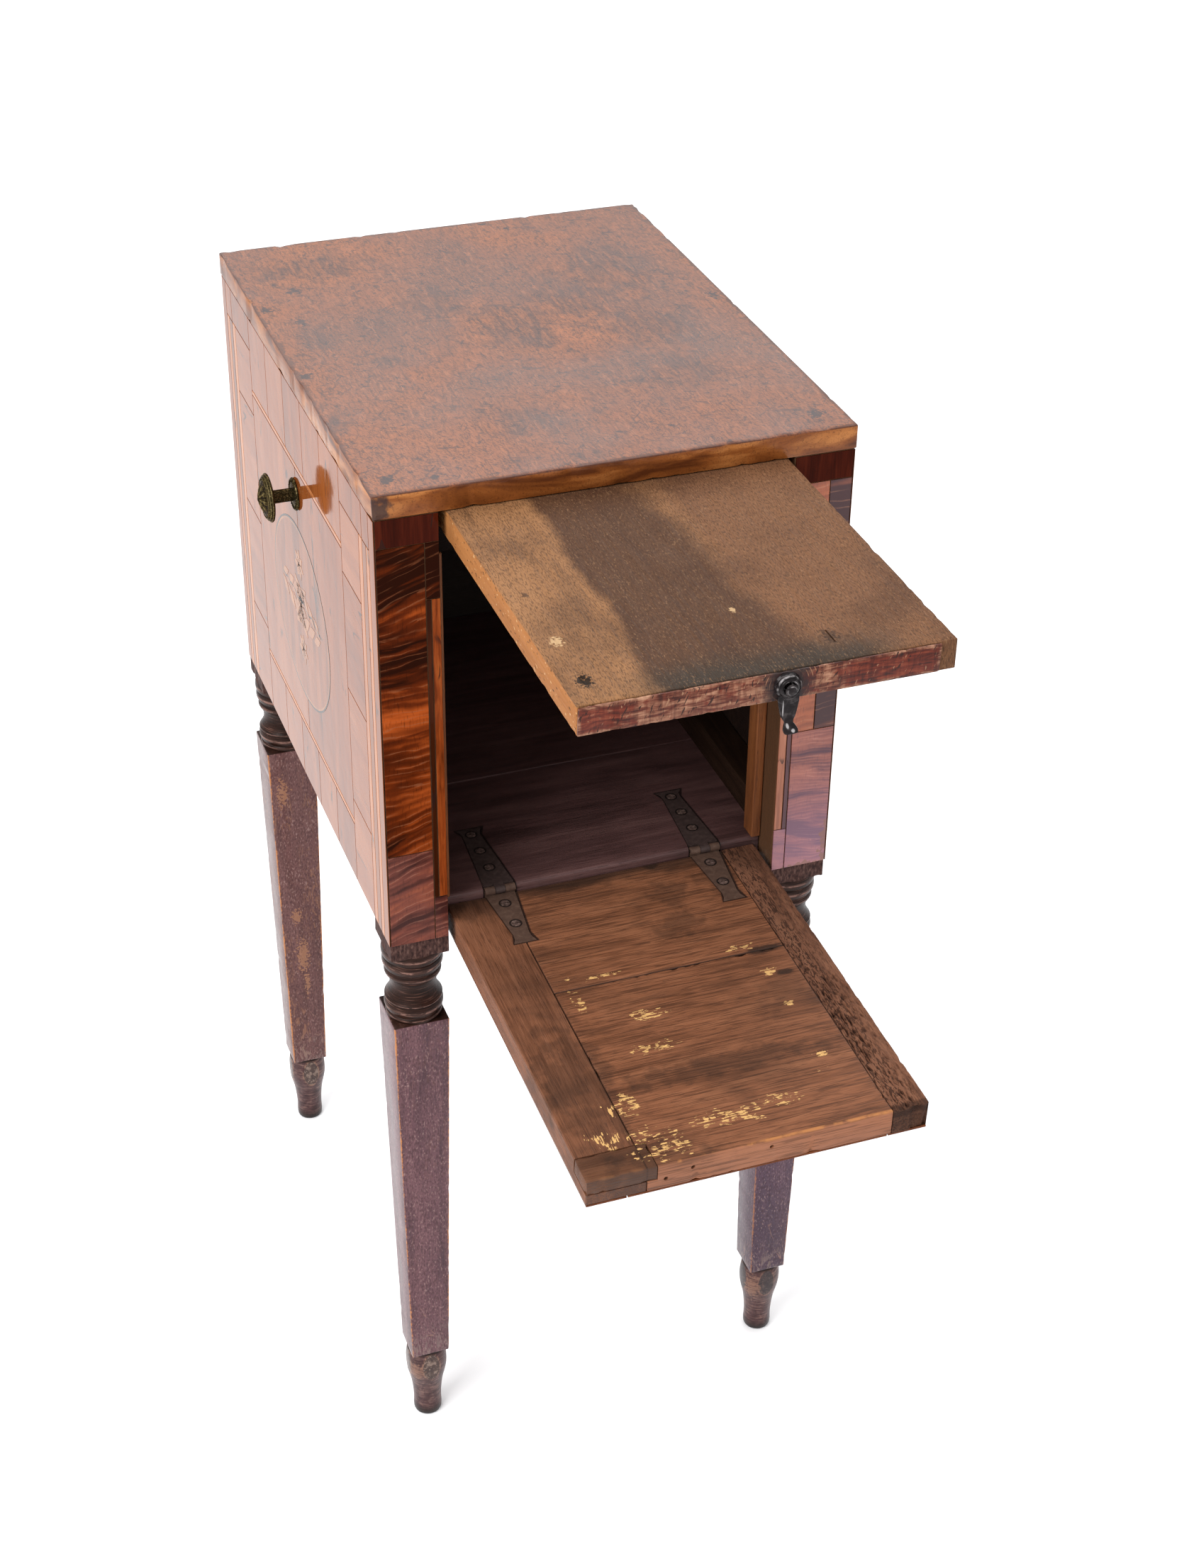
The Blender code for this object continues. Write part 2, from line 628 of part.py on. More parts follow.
def build_door_leaf(name, door, x, screw_mesh, boards):
    """Make one hinge leaf let into the door, with its screws."""
    lie_flat = (math.pi / 2, 0, 0)
    face_in = (-math.pi / 2, 0, 0)
    wide = HINGE_WIDTH / 2
    tab = HINGE_WIDTH / 6 + GAP / 2
    web = LEAF_THICK * 0.6
    outline = leaf_outline(DOOR_LEAF, -web, [])
    at = (x, -DOOR_SET, 0)
    leaf = add_piece(f"{name}_hinge_door_leaf", slab_mesh(outline, 0, LEAF_THICK), door, RUSTY_IRON,
                     at, lie_flat)
    for mark, low, high in (("a", -wide, -tab), ("b", tab, wide)):
        spot = (x, 0, 0)
        bridge = box_mesh((low, -DOOR_SET - LEAF_THICK / 2, -web), (high, 0, web))
        boolean(leaf, add_cutter(f"{name}_bridge_{mark}", bridge, door, spot), "UNION")
        knuckle = cylinder_mesh(KNUCKLE_R, low, high, "X")
        boolean(leaf, add_cutter(f"{name}_knuckle_{mark}", knuckle, door, spot), "UNION")
    bore = cylinder_mesh(PIN_R + PIN_CLEAR, -HINGE_WIDTH, HINGE_WIDTH, "X")
    boolean(leaf, add_cutter(f"{name}_door_bore", bore, door, (x, 0, 0)))
    recess = slab_mesh(leaf_outline(DOOR_LEAF, -DOOR_FOOT, [], GAP), -DOOR_SET, LEAF_THICK + GAP)
    tool = add_cutter(f"{name}_door_recess", recess, door, at, lie_flat)
    for piece in boards:
        boolean(piece, tool)
    for number, height in enumerate(DOOR_SCREWS, 1):
        spot = (x, -DOOR_SET, height)
        hole = countersink(f"{name}_door_hole_{number}", door, spot, face_in, SCREW_LENGTH + GAP)
        boolean(leaf, hole)
        for piece in boards:
            boolean(piece, hole)
        add_piece(f"{name}_hinge_door_screw_{number}", screw_mesh, door, RUSTY_IRON, spot, face_in)
    smooth(leaf)


def build_door(door):
    """Make the door's boards, battens, corner block and outer veneer, standing upright."""
    inner = -DOOR_SET
    core = -DOOR_SET - DOOR_THICK + DOOR_VENEER + GLUE
    left = -DOOR_WIDTH / 2
    right = DOOR_WIDTH / 2
    left_seam = left + LEFT_BATTEN
    right_seam = right - RIGHT_BATTEN
    block_wide, block_tall, block_deep = CORNER_BLOCK
    left_batten = board("door_left_batten", (left, core, DOOR_FOOT), (left_seam, inner, DOOR_TOP),
                        door, PINE)
    board("door_right_batten", (right_seam, core, DOOR_FOOT), (right, inner, DOOR_TOP), door, PINE)
    lower = board("door_lower_board", (left_seam + GAP, core, DOOR_FOOT),
                  (right_seam - GAP, inner, DOOR_SEAM), door, PINE)
    upper = board("door_upper_board", (left_seam + GAP, core, DOOR_SEAM + GAP),
                  (right_seam - GAP, inner, DOOR_TOP), door, PINE)
    board("door_corner_block", (left, inner - block_deep, DOOR_TOP - block_tall),
          (left + block_wide, inner, DOOR_TOP), door, PINE)
    recess = box_mesh((left - block_wide, inner - block_deep - GAP, DOOR_TOP - block_tall - GAP),
                      (left + block_wide + GAP, block_deep, DOOR_TOP + block_tall))
    tool = add_cutter("corner_recess", recess, door)
    boolean(left_batten, tool)
    boolean(upper, tool)
    board("door_veneer", (left, -DOOR_SET - DOOR_THICK, DOOR_FOOT),
          (right, -DOOR_SET - DOOR_THICK + DOOR_VENEER, DOOR_TOP), door, WALNUT, EDGE / 2)
    return left_batten, lower


def build_slide(slide):
    """Make the slide's board and the veneer strip on its front edge."""
    half = SLIDE_WIDTH / 2
    face = -HALF_D + EDGE_VENEER
    wood = board("slide_board", (-half, face + GLUE, SLIDE_UNDER), (half, SLIDE_BACK, SLIDE_TOP),
                 slide, RAW_WOOD, SLIDE_EDGE)
    board("slide_edge_veneer", (-half, -HALF_D, SLIDE_UNDER + EDGE),
          (half - EDGE_BARE_END, face, SLIDE_TOP - EDGE), slide, RED_EDGE, EDGE / 2)
    return wood, bpy.data.objects["slide_edge_veneer"]


def latch_outline():
    """Give the turn-button's front outline: a round head that tapers to a narrow arm."""
    waist = LATCH_WAIST / 2
    points = []
    for step in range(13):
        angle = math.radians(-25 + 230 * step / 12)
        points.append((LATCH_HEAD_R * math.cos(angle), LATCH_HEAD_R * math.sin(angle)))
    return points + [(-waist * 1.15, -LATCH_LENGTH * 0.55), (-waist, -LATCH_LENGTH),
                     (waist, -LATCH_LENGTH), (waist * 1.15, -LATCH_LENGTH * 0.55)]


def curl_outline():
    """Give the side outline of the turn-button's thumb end, curled outward like a hook.

    The first coordinate runs outward from the arm's back face and the second one up.
    """
    outer = LATCH_CURL_R + LATCH_THICK / 2
    inner = LATCH_CURL_R - LATCH_THICK / 3
    middle = outer
    turns = [math.radians(180 + 215 * step / 9) for step in range(10)]
    round_outside = [(middle + outer * math.cos(a), outer * math.sin(a)) for a in turns]
    round_inside = [(middle + inner * math.cos(a), inner * math.sin(a)) for a in reversed(turns)]
    return round_outside + round_inside


def build_latch(slide, turn_button, slide_pieces):
    """Make the turn-button, its washer and the screw that it turns on."""
    face_out = (math.pi / 2, 0, 0)
    at = turn_button.location
    arm = add_piece("latch_arm", slab_mesh(latch_outline(), LATCH_OFF, LATCH_OFF + LATCH_THICK),
                    turn_button, DARK_IRON, (0, 0, 0), face_out)
    boss = cylinder_mesh(LATCH_BOSS_R, LATCH_OFF + LATCH_THICK / 2,
                         LATCH_OFF + LATCH_THICK + LATCH_BOSS)
    boolean(arm, add_cutter("latch_boss", boss, turn_button, (0, 0, 0), face_out), "UNION")
    curl = slab_mesh(curl_outline(), -LATCH_WAIST / 2, LATCH_WAIST / 2)
    curl.transform(Matrix(((0, 0, 1, 0), (-1, 0, 0, 0), (0, 1, 0, 0), (0, 0, 0, 1))))
    spot = (0, -LATCH_OFF, -LATCH_LENGTH + LATCH_THICK / 8)
    boolean(arm, add_cutter("latch_curl", curl, turn_button, spot), "UNION")
    hole = cylinder_mesh(LATCH_SCREW_R + GAP, 0, LATCH_LENGTH)
    boolean(arm, add_cutter("latch_hole", hole, turn_button, (0, 0, 0), face_out))
    smooth(arm)
    eye = LATCH_SCREW_R + GAP
    rim = WASHER_R * 0.93
    ring = [(eye, GAP + WASHER_THICK), (rim, GAP + WASHER_THICK), (WASHER_R, GAP), (eye, GAP)]
    washer = add_piece("latch_washer", profile_mesh(ring, closed=True), slide, DARK_IRON, at,
                       face_out)
    screw_mod(washer, LATCH_STEPS)
    under = LATCH_OFF + LATCH_THICK + LATCH_BOSS + GAP
    head = LATCH_BOSS_R * 0.68
    points = [(head * math.sin(a), under + RIVET_EDGE + RIVET_RISE * math.cos(a))
              for a in (math.radians(30 * step) for step in range(4))]
    points += [(head, under), (LATCH_SCREW_R, under), (LATCH_SCREW_R, -SCREW_LENGTH),
               (0, -SCREW_LENGTH - LATCH_SCREW_R)]
    screw = add_piece("latch_screw", profile_mesh(points), slide, DARK_IRON, at, face_out)
    screw_mod(screw, LATCH_STEPS)
    bore = cylinder_mesh(LATCH_SCREW_R + GAP, -SCREW_LENGTH - LATCH_SCREW_R - GAP, WASHER_R)
    tool = add_cutter("latch_bore", bore, slide, at, face_out)
    for piece in slide_pieces:
        boolean(piece, tool)


def build_knob(case):
    """Make the fixed pull on the left side: rosette, turned head with its rod, and the nut."""
    at = (-HALF_W, *KNOB_AT)
    outward = (0, -math.pi / 2, 0)
    eye = ROD_R + GAP
    top = ROSETTE_THICK + GAP
    ring = [(eye, top), (ROSETTE_R * 0.55, top + GAP), (ROSETTE_R * 0.86, top * 0.8),
            (ROSETTE_R, top * 0.5), (ROSETTE_R, GAP), (eye, GAP)]
    rosette = add_piece("knob_rosette", profile_mesh(ring, closed=True), case, OLD_BRASS, at,
                        outward)
    screw_mod(rosette, KNOB_STEPS)
    rim = KNOB_REACH - KNOB_DOME
    points = [(0, KNOB_REACH)]
    points += arc((KNOB_R * 0.12, KNOB_REACH - GLUE), (KNOB_R * 0.76, rim), KNOB_SWELL)
    for ring_at in (0.80, 0.90):
        points += [(KNOB_R * ring_at, rim), (KNOB_R * (ring_at + 0.02), rim - RIM_STEP)]
        rim -= RIM_STEP
    points += [(KNOB_R * 0.98, rim), (KNOB_R, rim - RIM_STEP), (KNOB_R * 0.96, rim - 2 * RIM_STEP)]
    points += arc((KNOB_R * 0.5, rim - 2.8 * RIM_STEP), (STEM_R, rim - 5.5 * RIM_STEP),
                  -KNOB_SWELL / 2, 3)
    stem_end = ROSETTE_THICK + 4 * GAP
    rod_end = -PANEL_THICK - NUT_THICK - 3 * GAP
    points += [(STEM_R, stem_end), (ROD_R, stem_end), (ROD_R, rod_end), (0, rod_end)]
    head = add_piece("knob_head", profile_mesh(points), case, OLD_BRASS, at, outward)
    screw_mod(head, KNOB_STEPS)
    start = -PANEL_THICK - GAP
    nut = add_piece("knob_nut", cylinder_mesh(NUT_R, start - NUT_THICK, start, sides=6), case,
                    DARK_IRON, at, outward)
    bore = cylinder_mesh(eye, start - 2 * NUT_THICK, start + NUT_THICK)
    boolean(nut, add_cutter("nut_bore", bore, case, at, outward))


def main():
    """Build the cupboard, body by body."""
    clear_scene()
    case = frame_empty("case", None, CENTRE)
    slide = frame_empty("slide_way", case, (0, -SLIDE_OUT, 0))
    turn_button = frame_empty("latch_pivot", slide, (LATCH_X, -HALF_D, SLIDE_TOP - LATCH_DROP))
    door = frame_empty("door_pin_line", case, (0, PIN_Y, PIN_Z), DOOR_OPEN)
    build_top(case)
    build_legs(case)
    build_panels(case)
    floor = build_floor(case)
    build_slide_ways(case)
    build_knob(case)
    screw_mesh = screw_solid(case)
    boards = build_door(door)
    for name, x in zip(("left", "right"), HINGE_X):
        build_floor_leaf(name, case, x, screw_mesh, floor)
        build_door_leaf(name, door, x, screw_mesh, boards)
    build_latch(slide, turn_button, build_slide(slide))


main()
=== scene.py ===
"""Looks of a veneered bedside cupboard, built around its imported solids.

The cupboard stands open: its door is let down, its slide is pulled out and an iron turn-button hangs
on the slide's edge. Each sub-assembly is a class that models and dresses its pieces, and each finish is
a small class that makes one material. Lengths are in metres, +Z is up and the front faces -Y. Sizes of
the case are given from the middle of its top board, which the frame tells.
"""

import json
import logging
import math
from dataclasses import dataclass, field
from enum import Enum
from typing import Any, Callable, Sequence, Union

import bmesh
import bpy
from mathutils import Matrix, Vector, noise

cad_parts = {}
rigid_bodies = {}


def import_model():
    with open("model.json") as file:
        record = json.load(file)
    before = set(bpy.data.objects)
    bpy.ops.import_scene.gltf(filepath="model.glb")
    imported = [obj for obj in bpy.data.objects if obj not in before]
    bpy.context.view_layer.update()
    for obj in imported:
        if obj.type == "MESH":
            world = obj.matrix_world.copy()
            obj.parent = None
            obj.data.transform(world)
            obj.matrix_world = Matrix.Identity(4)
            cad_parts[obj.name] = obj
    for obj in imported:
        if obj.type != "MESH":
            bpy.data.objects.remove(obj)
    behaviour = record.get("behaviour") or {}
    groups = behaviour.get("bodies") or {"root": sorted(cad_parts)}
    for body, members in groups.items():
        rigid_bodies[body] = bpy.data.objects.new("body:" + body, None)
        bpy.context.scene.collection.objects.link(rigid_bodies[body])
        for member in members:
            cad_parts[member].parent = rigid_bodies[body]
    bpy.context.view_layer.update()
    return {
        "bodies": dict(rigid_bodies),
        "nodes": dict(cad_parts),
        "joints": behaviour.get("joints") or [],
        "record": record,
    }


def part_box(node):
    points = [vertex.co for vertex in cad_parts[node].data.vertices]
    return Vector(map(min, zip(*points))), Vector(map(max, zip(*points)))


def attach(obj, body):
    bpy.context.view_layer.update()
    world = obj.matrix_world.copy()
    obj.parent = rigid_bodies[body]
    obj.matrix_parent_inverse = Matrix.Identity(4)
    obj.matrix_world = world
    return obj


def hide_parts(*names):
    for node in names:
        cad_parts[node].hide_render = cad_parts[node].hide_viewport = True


LOG = logging.getLogger("bedside_cupboard")
Colour = tuple[float, float, float]
Point = tuple[float, float, float]
Rect = tuple[float, float, float, float]

VENEER = 0.0008
JOINT = 0.0007


class Body(Enum):
    """The rigid bodies that pieces ride on."""

    CASE = "case"
    DOOR = "door"
    SLIDE = "slide"
    LATCH = "latch"


class Grain(Enum):
    """The axis that the wood's fibres follow, as a turn that brings it onto X."""

    ALONG_X = (0.0, 0.0, 0.0)
    ALONG_Y = (0.0, 0.0, math.pi / 2)
    ALONG_Z = (0.0, math.pi / 2, 0.0)


class Wire:
    """A value on a node sheet; sums, products and steps on it add nodes."""

    def __init__(self, sheet: "Sheet", socket: bpy.types.NodeSocket) -> None:
        """Take the sheet and the socket that gives the value."""
        self.sheet = sheet
        self.socket = socket

    def __add__(self, other: "Value") -> "Wire":
        """Give the sum with another value."""
        return self.sheet.sum("ADD", self, other)

    def __sub__(self, other: "Value") -> "Wire":
        """Give this value less another one."""
        return self.sheet.sum("SUBTRACT", self, other)

    def __rsub__(self, other: "Value") -> "Wire":
        """Give another value less this one."""
        return self.sheet.sum("SUBTRACT", other, self)

    def __mul__(self, other: "Value") -> "Wire":
        """Give the product with another value."""
        return self.sheet.sum("MULTIPLY", self, other)

    def __truediv__(self, other: "Value") -> "Wire":
        """Give this value divided by another one."""
        return self.sheet.sum("DIVIDE", self, other)

    def __rtruediv__(self, other: "Value") -> "Wire":
        """Give another value divided by this one."""
        return self.sheet.sum("DIVIDE", other, self)

    def __abs__(self) -> "Wire":
        """Give the value without its sign."""
        return self.sheet.math("ABSOLUTE", self)

    def ease(self, low: float, high: float, start: float = 0.0, end: float = 1.0,
             kind: str = "SMOOTHSTEP") -> "Wire":
        """Give a step of the value between two limits, a smooth one unless another kind is named."""
        inputs = {"Value": self, "From Min": low, "From Max": high, "To Min": start, "To Max": end}
        return self.sheet.out("MapRange", inputs, interpolation_type=kind)


Value = Union[float, Sequence[float], Wire]


class Sheet:
    """A shader's node sheet: adds nodes and joins them."""

    origin: Point = (0.0, 0.0, 0.0)

    def __init__(self, tree: bpy.types.NodeTree) -> None:
        """Take the tree that the nodes go into."""
        self.tree = tree

    def set(self, socket: bpy.types.NodeSocket, value: Value) -> None:
        """Link an input to a wire, or give it a fixed number, vector or colour."""
        if isinstance(value, Wire):
            self.tree.links.new(value.socket, socket)
        elif socket.type == "RGBA" and len(value) == 3:
            socket.default_value = (*value, 1.0)
        else:
            socket.default_value = value

    def node(self, kind: str, inputs: dict[Any, Value], **options: Any) -> bpy.types.Node:
        """Add a node.

        Args:
            kind: the node's type without its ShaderNode prefix.
            inputs: values of its input sockets by name or number.
            options: its own settings.

        Returns:
            The node.
        """
        made = self.tree.nodes.new("ShaderNode" + kind)
        for name, option in options.items():
            setattr(made, name, option)
        for name, value in inputs.items():
            self.set(made.inputs[name], value)
        return made

    def out(self, kind: str, inputs: dict[Any, Value], which: Union[int, str] = 0, **options: Any) -> Wire:
        """Add a node and give one of its outputs."""
        return Wire(self, self.node(kind, inputs, **options).outputs[which])

    def math(self, operation: str, a: Value, b: Value = 0.0) -> Wire:
        """Give the result of a sum on one or two numbers."""
        return self.out("Math", {0: a, 1: b}, operation=operation)

    def vector(self, operation: str, a: Value, b: Value) -> Wire:
        """Give the vector result of a sum on two vectors."""
        return self.out("VectorMath", {0: a, 1: b}, operation=operation)

    def sum(self, operation: str, a: Value, b: Value) -> Wire:
        """Give the result of a sum on two numbers or, where either is a vector, on two vectors."""
        kinds = [part.socket.type if isinstance(part, Wire) else type(part) for part in (a, b)]
        make = self.vector if "VECTOR" in kinds or tuple in kinds else self.math
        return make(operation, a, b)

    def length(self, a: Value) -> Wire:
        """Give a vector's length."""
        return self.out("VectorMath", {0: a}, "Value", operation="LENGTH")

    def parts(self, a: Value) -> list[Wire]:
        """Give the three numbers of a vector."""
        return [Wire(self, socket) for socket in self.node("SeparateXYZ", {0: a}).outputs]

    def join(self, x: Value, y: Value, z: Value) -> Wire:
        """Give the vector of three numbers."""
        return self.out("CombineXYZ", {0: x, 1: y, 2: z})

    def mix(self, share: Value, a: Value, b: Value) -> Wire:
        """Give a colour between two colours."""
        return self.out("Mix", {0: share, 6: a, 7: b}, 2, data_type="RGBA")

    def ramp(self, share: Value, *stops: tuple[float, Colour]) -> Wire:
        """Give a colour from a row of stops, each a place from 0 to 1 and a colour."""
        made = self.node("ValToRGB", {0: share})
        row = made.color_ramp.elements
        while len(row) < len(stops):
            row.new(1.0)
        for element, (place, colour) in zip(row, stops):
            element.position = place
            element.color = (*colour, 1.0)
        return Wire(self, made.outputs[0])

    def noise(self, vector: Value, scale: Value, detail: float = 3.0, distortion: Value = 0.0) -> Wire:
        """Give cloudy noise from 0 to 1."""
        inputs = {"Vector": vector, "Scale": scale, "Detail": detail, "Distortion": distortion}
        return self.out("TexNoise", inputs)

    def turn(self, vector: Value, at: Point = (0, 0, 0), angles: Point = (0, 0, 0)) -> Wire:
        """Give coordinates in a frame at a point, turned by angles."""
        inputs = {"Vector": vector, "Location": at, "Rotation": angles}
        return self.out("Mapping", inputs, vector_type="TEXTURE")

    def shrink(self, vector: Value, size: Wire) -> Wire:
        """Give coordinates measured in a size."""
        return self.out("VectorMath", {0: vector, "Scale": 1.0 / size}, operation="SCALE")

    def here(self) -> Wire:
        """Give the piece's own coordinates, measured from the middle of the case."""
        return self.turn(self.out("TexCoord", {}, "Object"), at=self.origin)

    def tag(self, name: str) -> Wire:
        """Give a number that the mesh carries on its faces."""
        return self.out("Attribute", {}, "Fac", attribute_name=name)

    def effect(self, name: str, **inputs: Value) -> list[Wire]:
        """Place a shared effect.

        Args:
            name: the effect's name.
            inputs: values of its inputs.

        Returns:
            Its outputs.
        """
        made = self.tree.nodes.new("ShaderNodeGroup")
        made.node_tree = EFFECTS.get(name)
        for key, value in inputs.items():
            self.set(made.inputs[key], value)
        return [Wire(self, socket) for socket in made.outputs]

    def spot(self, vector: Value, centre: Point, radius: Point, ragged: float, grit: float) -> Wire:
        """Give the mask of one soft spot with a ragged outline."""
        return self.effect("spot", Vector=vector, Centre=centre, Radius=radius, Ragged=ragged, Grit=grit)[0]


class Effects:
    """Shared surface effects, each a node group that is built once."""

    def __init__(self) -> None:
        """Start with no groups."""
        self.made: dict[str, bpy.types.NodeTree] = {}

    def get(self, name: str) -> bpy.types.NodeTree:
        """Give a group by name, and build it the first time."""
        if name not in self.made:
            self.made[name] = getattr(self, name)()
        return self.made[name]

    @staticmethod
    def start(name: str, inputs: Sequence[tuple[str, str, Any]],
              outputs: Sequence[str]) -> tuple[Sheet, dict[str, Wire], bpy.types.Node]:
        """Open a new group.

        Args:
            name: the group's name.
            inputs: name, socket type and default of each input.
            outputs: names of the outputs, which are numbers.

        Returns:
            The sheet, the inputs by name and the output node.
        """
        tree = bpy.data.node_groups.new(name, "ShaderNodeTree")
        for label, kind, value in inputs:
            socket = tree.interface.new_socket(label, in_out="INPUT", socket_type="NodeSocket" + kind)
            socket.default_value = value
        for label in outputs:
            tree.interface.new_socket(label, in_out="OUTPUT", socket_type="NodeSocketFloat")
        entry = tree.nodes.new("NodeGroupInput")
        sheet = Sheet(tree)
        given = {socket.name: Wire(sheet, socket) for socket in entry.outputs if socket.name}
        return sheet, given, tree.nodes.new("NodeGroupOutput")

    def grain(self) -> bpy.types.NodeTree:
        """Fibres along X: a broad figure, fine fibres and dark pores."""
        inputs = [("Vector", "Vector", (0, 0, 0)), ("Size", "Float", 0.02), ("Wander", "Float", 0.6),
                  ("Seed", "Float", 0.0)]
        sheet, given, out = self.start("Wood grain", inputs, ("Figure", "Fibre", "Pores"))
        shifted = given["Vector"] + sheet.join(given["Seed"], given["Seed"], given["Seed"])
        small = sheet.shrink(shifted, given["Size"])
        bent = sheet.noise(small * (0.12, 1, 1), 1.0, 3.0, given["Wander"])
        sheet.set(out.inputs["Figure"], bent)
        fibre = sheet.noise(shifted * (40, 900, 900), 1.0, 4.0, 0.2)
        sheet.set(out.inputs["Fibre"], fibre)
        pores = sheet.noise(shifted * (110, 1500, 1500), 1.0, 2.0)
        sheet.set(out.inputs["Pores"], pores.ease(0.60, 0.72))
        return sheet.tree

    def edge(self) -> bpy.types.NodeTree:
        """Distance from a block's nearest edge, for a point on its surface."""
        inputs = [("Vector", "Vector", (0, 0, 0)), ("Low", "Vector", (0, 0, 0)),
                  ("High", "Vector", (1, 1, 1))]
        sheet, given, out = self.start("Edge distance", inputs, ("Distance",))
        low = given["Vector"] - given["Low"]
        high = given["High"] - given["Vector"]
        x, y, z = sheet.parts(sheet.vector("MINIMUM", low, high))
        inner = sheet.math("MINIMUM", sheet.math("MAXIMUM", x, y), z)
        sheet.set(out.inputs[0], sheet.math("MAXIMUM", sheet.math("MINIMUM", x, y), inner))
        return sheet.tree

    def wear(self) -> bpy.types.NodeTree:
        """Ragged wear that fades with the distance from an edge."""
        inputs = [("Vector", "Vector", (0, 0, 0)), ("Distance", "Float", 0.01), ("Reach", "Float", 0.004),
                  ("Grit", "Float", 160.0)]
        sheet, given, out = self.start("Edge wear", inputs, ("Mask",))
        near = given["Distance"] / given["Reach"]
        spots = sheet.noise(given["Vector"], given["Grit"], 4.0)
        patchy = sheet.noise(given["Vector"], 22.0, 2.0)
        limit = spots * 1.3 + patchy * 1.2
        sheet.set(out.inputs[0], (limit - near).ease(0.72, 1.1))
        return sheet.tree

    def spot(self) -> bpy.types.NodeTree:
        """A soft oval spot with a ragged outline."""
        inputs = [("Vector", "Vector", (0, 0, 0)), ("Centre", "Vector", (0, 0, 0)),
                  ("Radius", "Vector", (0.01, 0.01, 1)), ("Ragged", "Float", 0.5), ("Grit", "Float", 60.0)]
        sheet, given, out = self.start("Soft spot", inputs, ("Mask",))
        away = given["Vector"] - given["Centre"]
        far = sheet.length(away / given["Radius"])
        cloud = sheet.noise(given["Vector"], given["Grit"], 5.0)
        shake = (cloud - 0.5) * given["Ragged"]
        sheet.set(out.inputs[0], (far + shake).ease(1.15, 0.55))
        return sheet.tree

    def scratches(self) -> bpy.types.NodeTree:
        """Thin wandering lines along X, gathered in patches."""
        inputs = [("Vector", "Vector", (0, 0, 0)), ("Size", "Float", 0.02), ("Width", "Float", 0.015)]
        sheet, given, out = self.start("Scratches", inputs, ("Mask",))
        scaled = sheet.shrink(given["Vector"], given["Size"])
        waves = sheet.noise(scaled * (0.35, 2.2, 2.2), 1.0, 2.0, 0.4)
        off = abs(waves - 0.5)
        line = sheet.math("LESS_THAN", off, given["Width"])
        patch = sheet.noise(scaled, 1.7, 2.0).ease(0.52, 0.62)
        sheet.set(out.inputs[0], line * patch)
        return sheet.tree

    def flecks(self) -> bpy.types.NodeTree:
        """Small ragged flecks drawn out along X."""
        inputs = [("Vector", "Vector", (0, 0, 0)), ("Size", "Float", 0.004), ("Share", "Float", 0.35)]
        sheet, given, out = self.start("Flecks", inputs, ("Mask",))
        scaled = sheet.shrink(given["Vector"], given["Size"])
        cloud = sheet.noise(scaled * (0.13, 1.0, 1.0), 1.0, 4.0, 0.3)
        over = cloud - (1.0 - given["Share"])
        sheet.set(out.inputs[0], over.ease(0.0, 0.03))
        return sheet.tree


EFFECTS = Effects()


@dataclass(frozen=True)
class Finish:
    """A surface finish that makes one material."""

    name: str

    def build(self) -> bpy.types.Material:
        """Make the material and draw its nodes."""
        material = bpy.data.materials.new(self.name)
        material.use_nodes = True
        self.draw(Sheet(material.node_tree), material.node_tree.nodes["Principled BSDF"])
        return material

    def draw(self, sheet: Sheet, shader: bpy.types.Node) -> None:
        """Draw the nodes that feed the shader."""
        raise NotImplementedError

    @staticmethod
    def lay(sheet: Sheet, shader: bpy.types.Node, colour: Value, roughness: Value, height: Value,
            depth: float, strength: float, shine: float) -> None:
        """Feed colour, roughness and relief to the shader.

        Args:
            sheet: the node sheet.
            shader: the shader node.
            colour: base colour.
            roughness: roughness.
            height: relief from 0 to 1.
            depth: how deep the relief is.
            strength: how much of it shows.
            shine: level of the reflection.
        """
        sheet.set(shader.inputs["Base Color"], colour)
        sheet.set(shader.inputs["Roughness"], roughness)
        bump = sheet.out("Bump", {"Height": height, "Distance": depth, "Strength": strength})
        sheet.set(shader.inputs["Normal"], bump)
        shader.inputs["Specular IOR Level"].default_value = shine


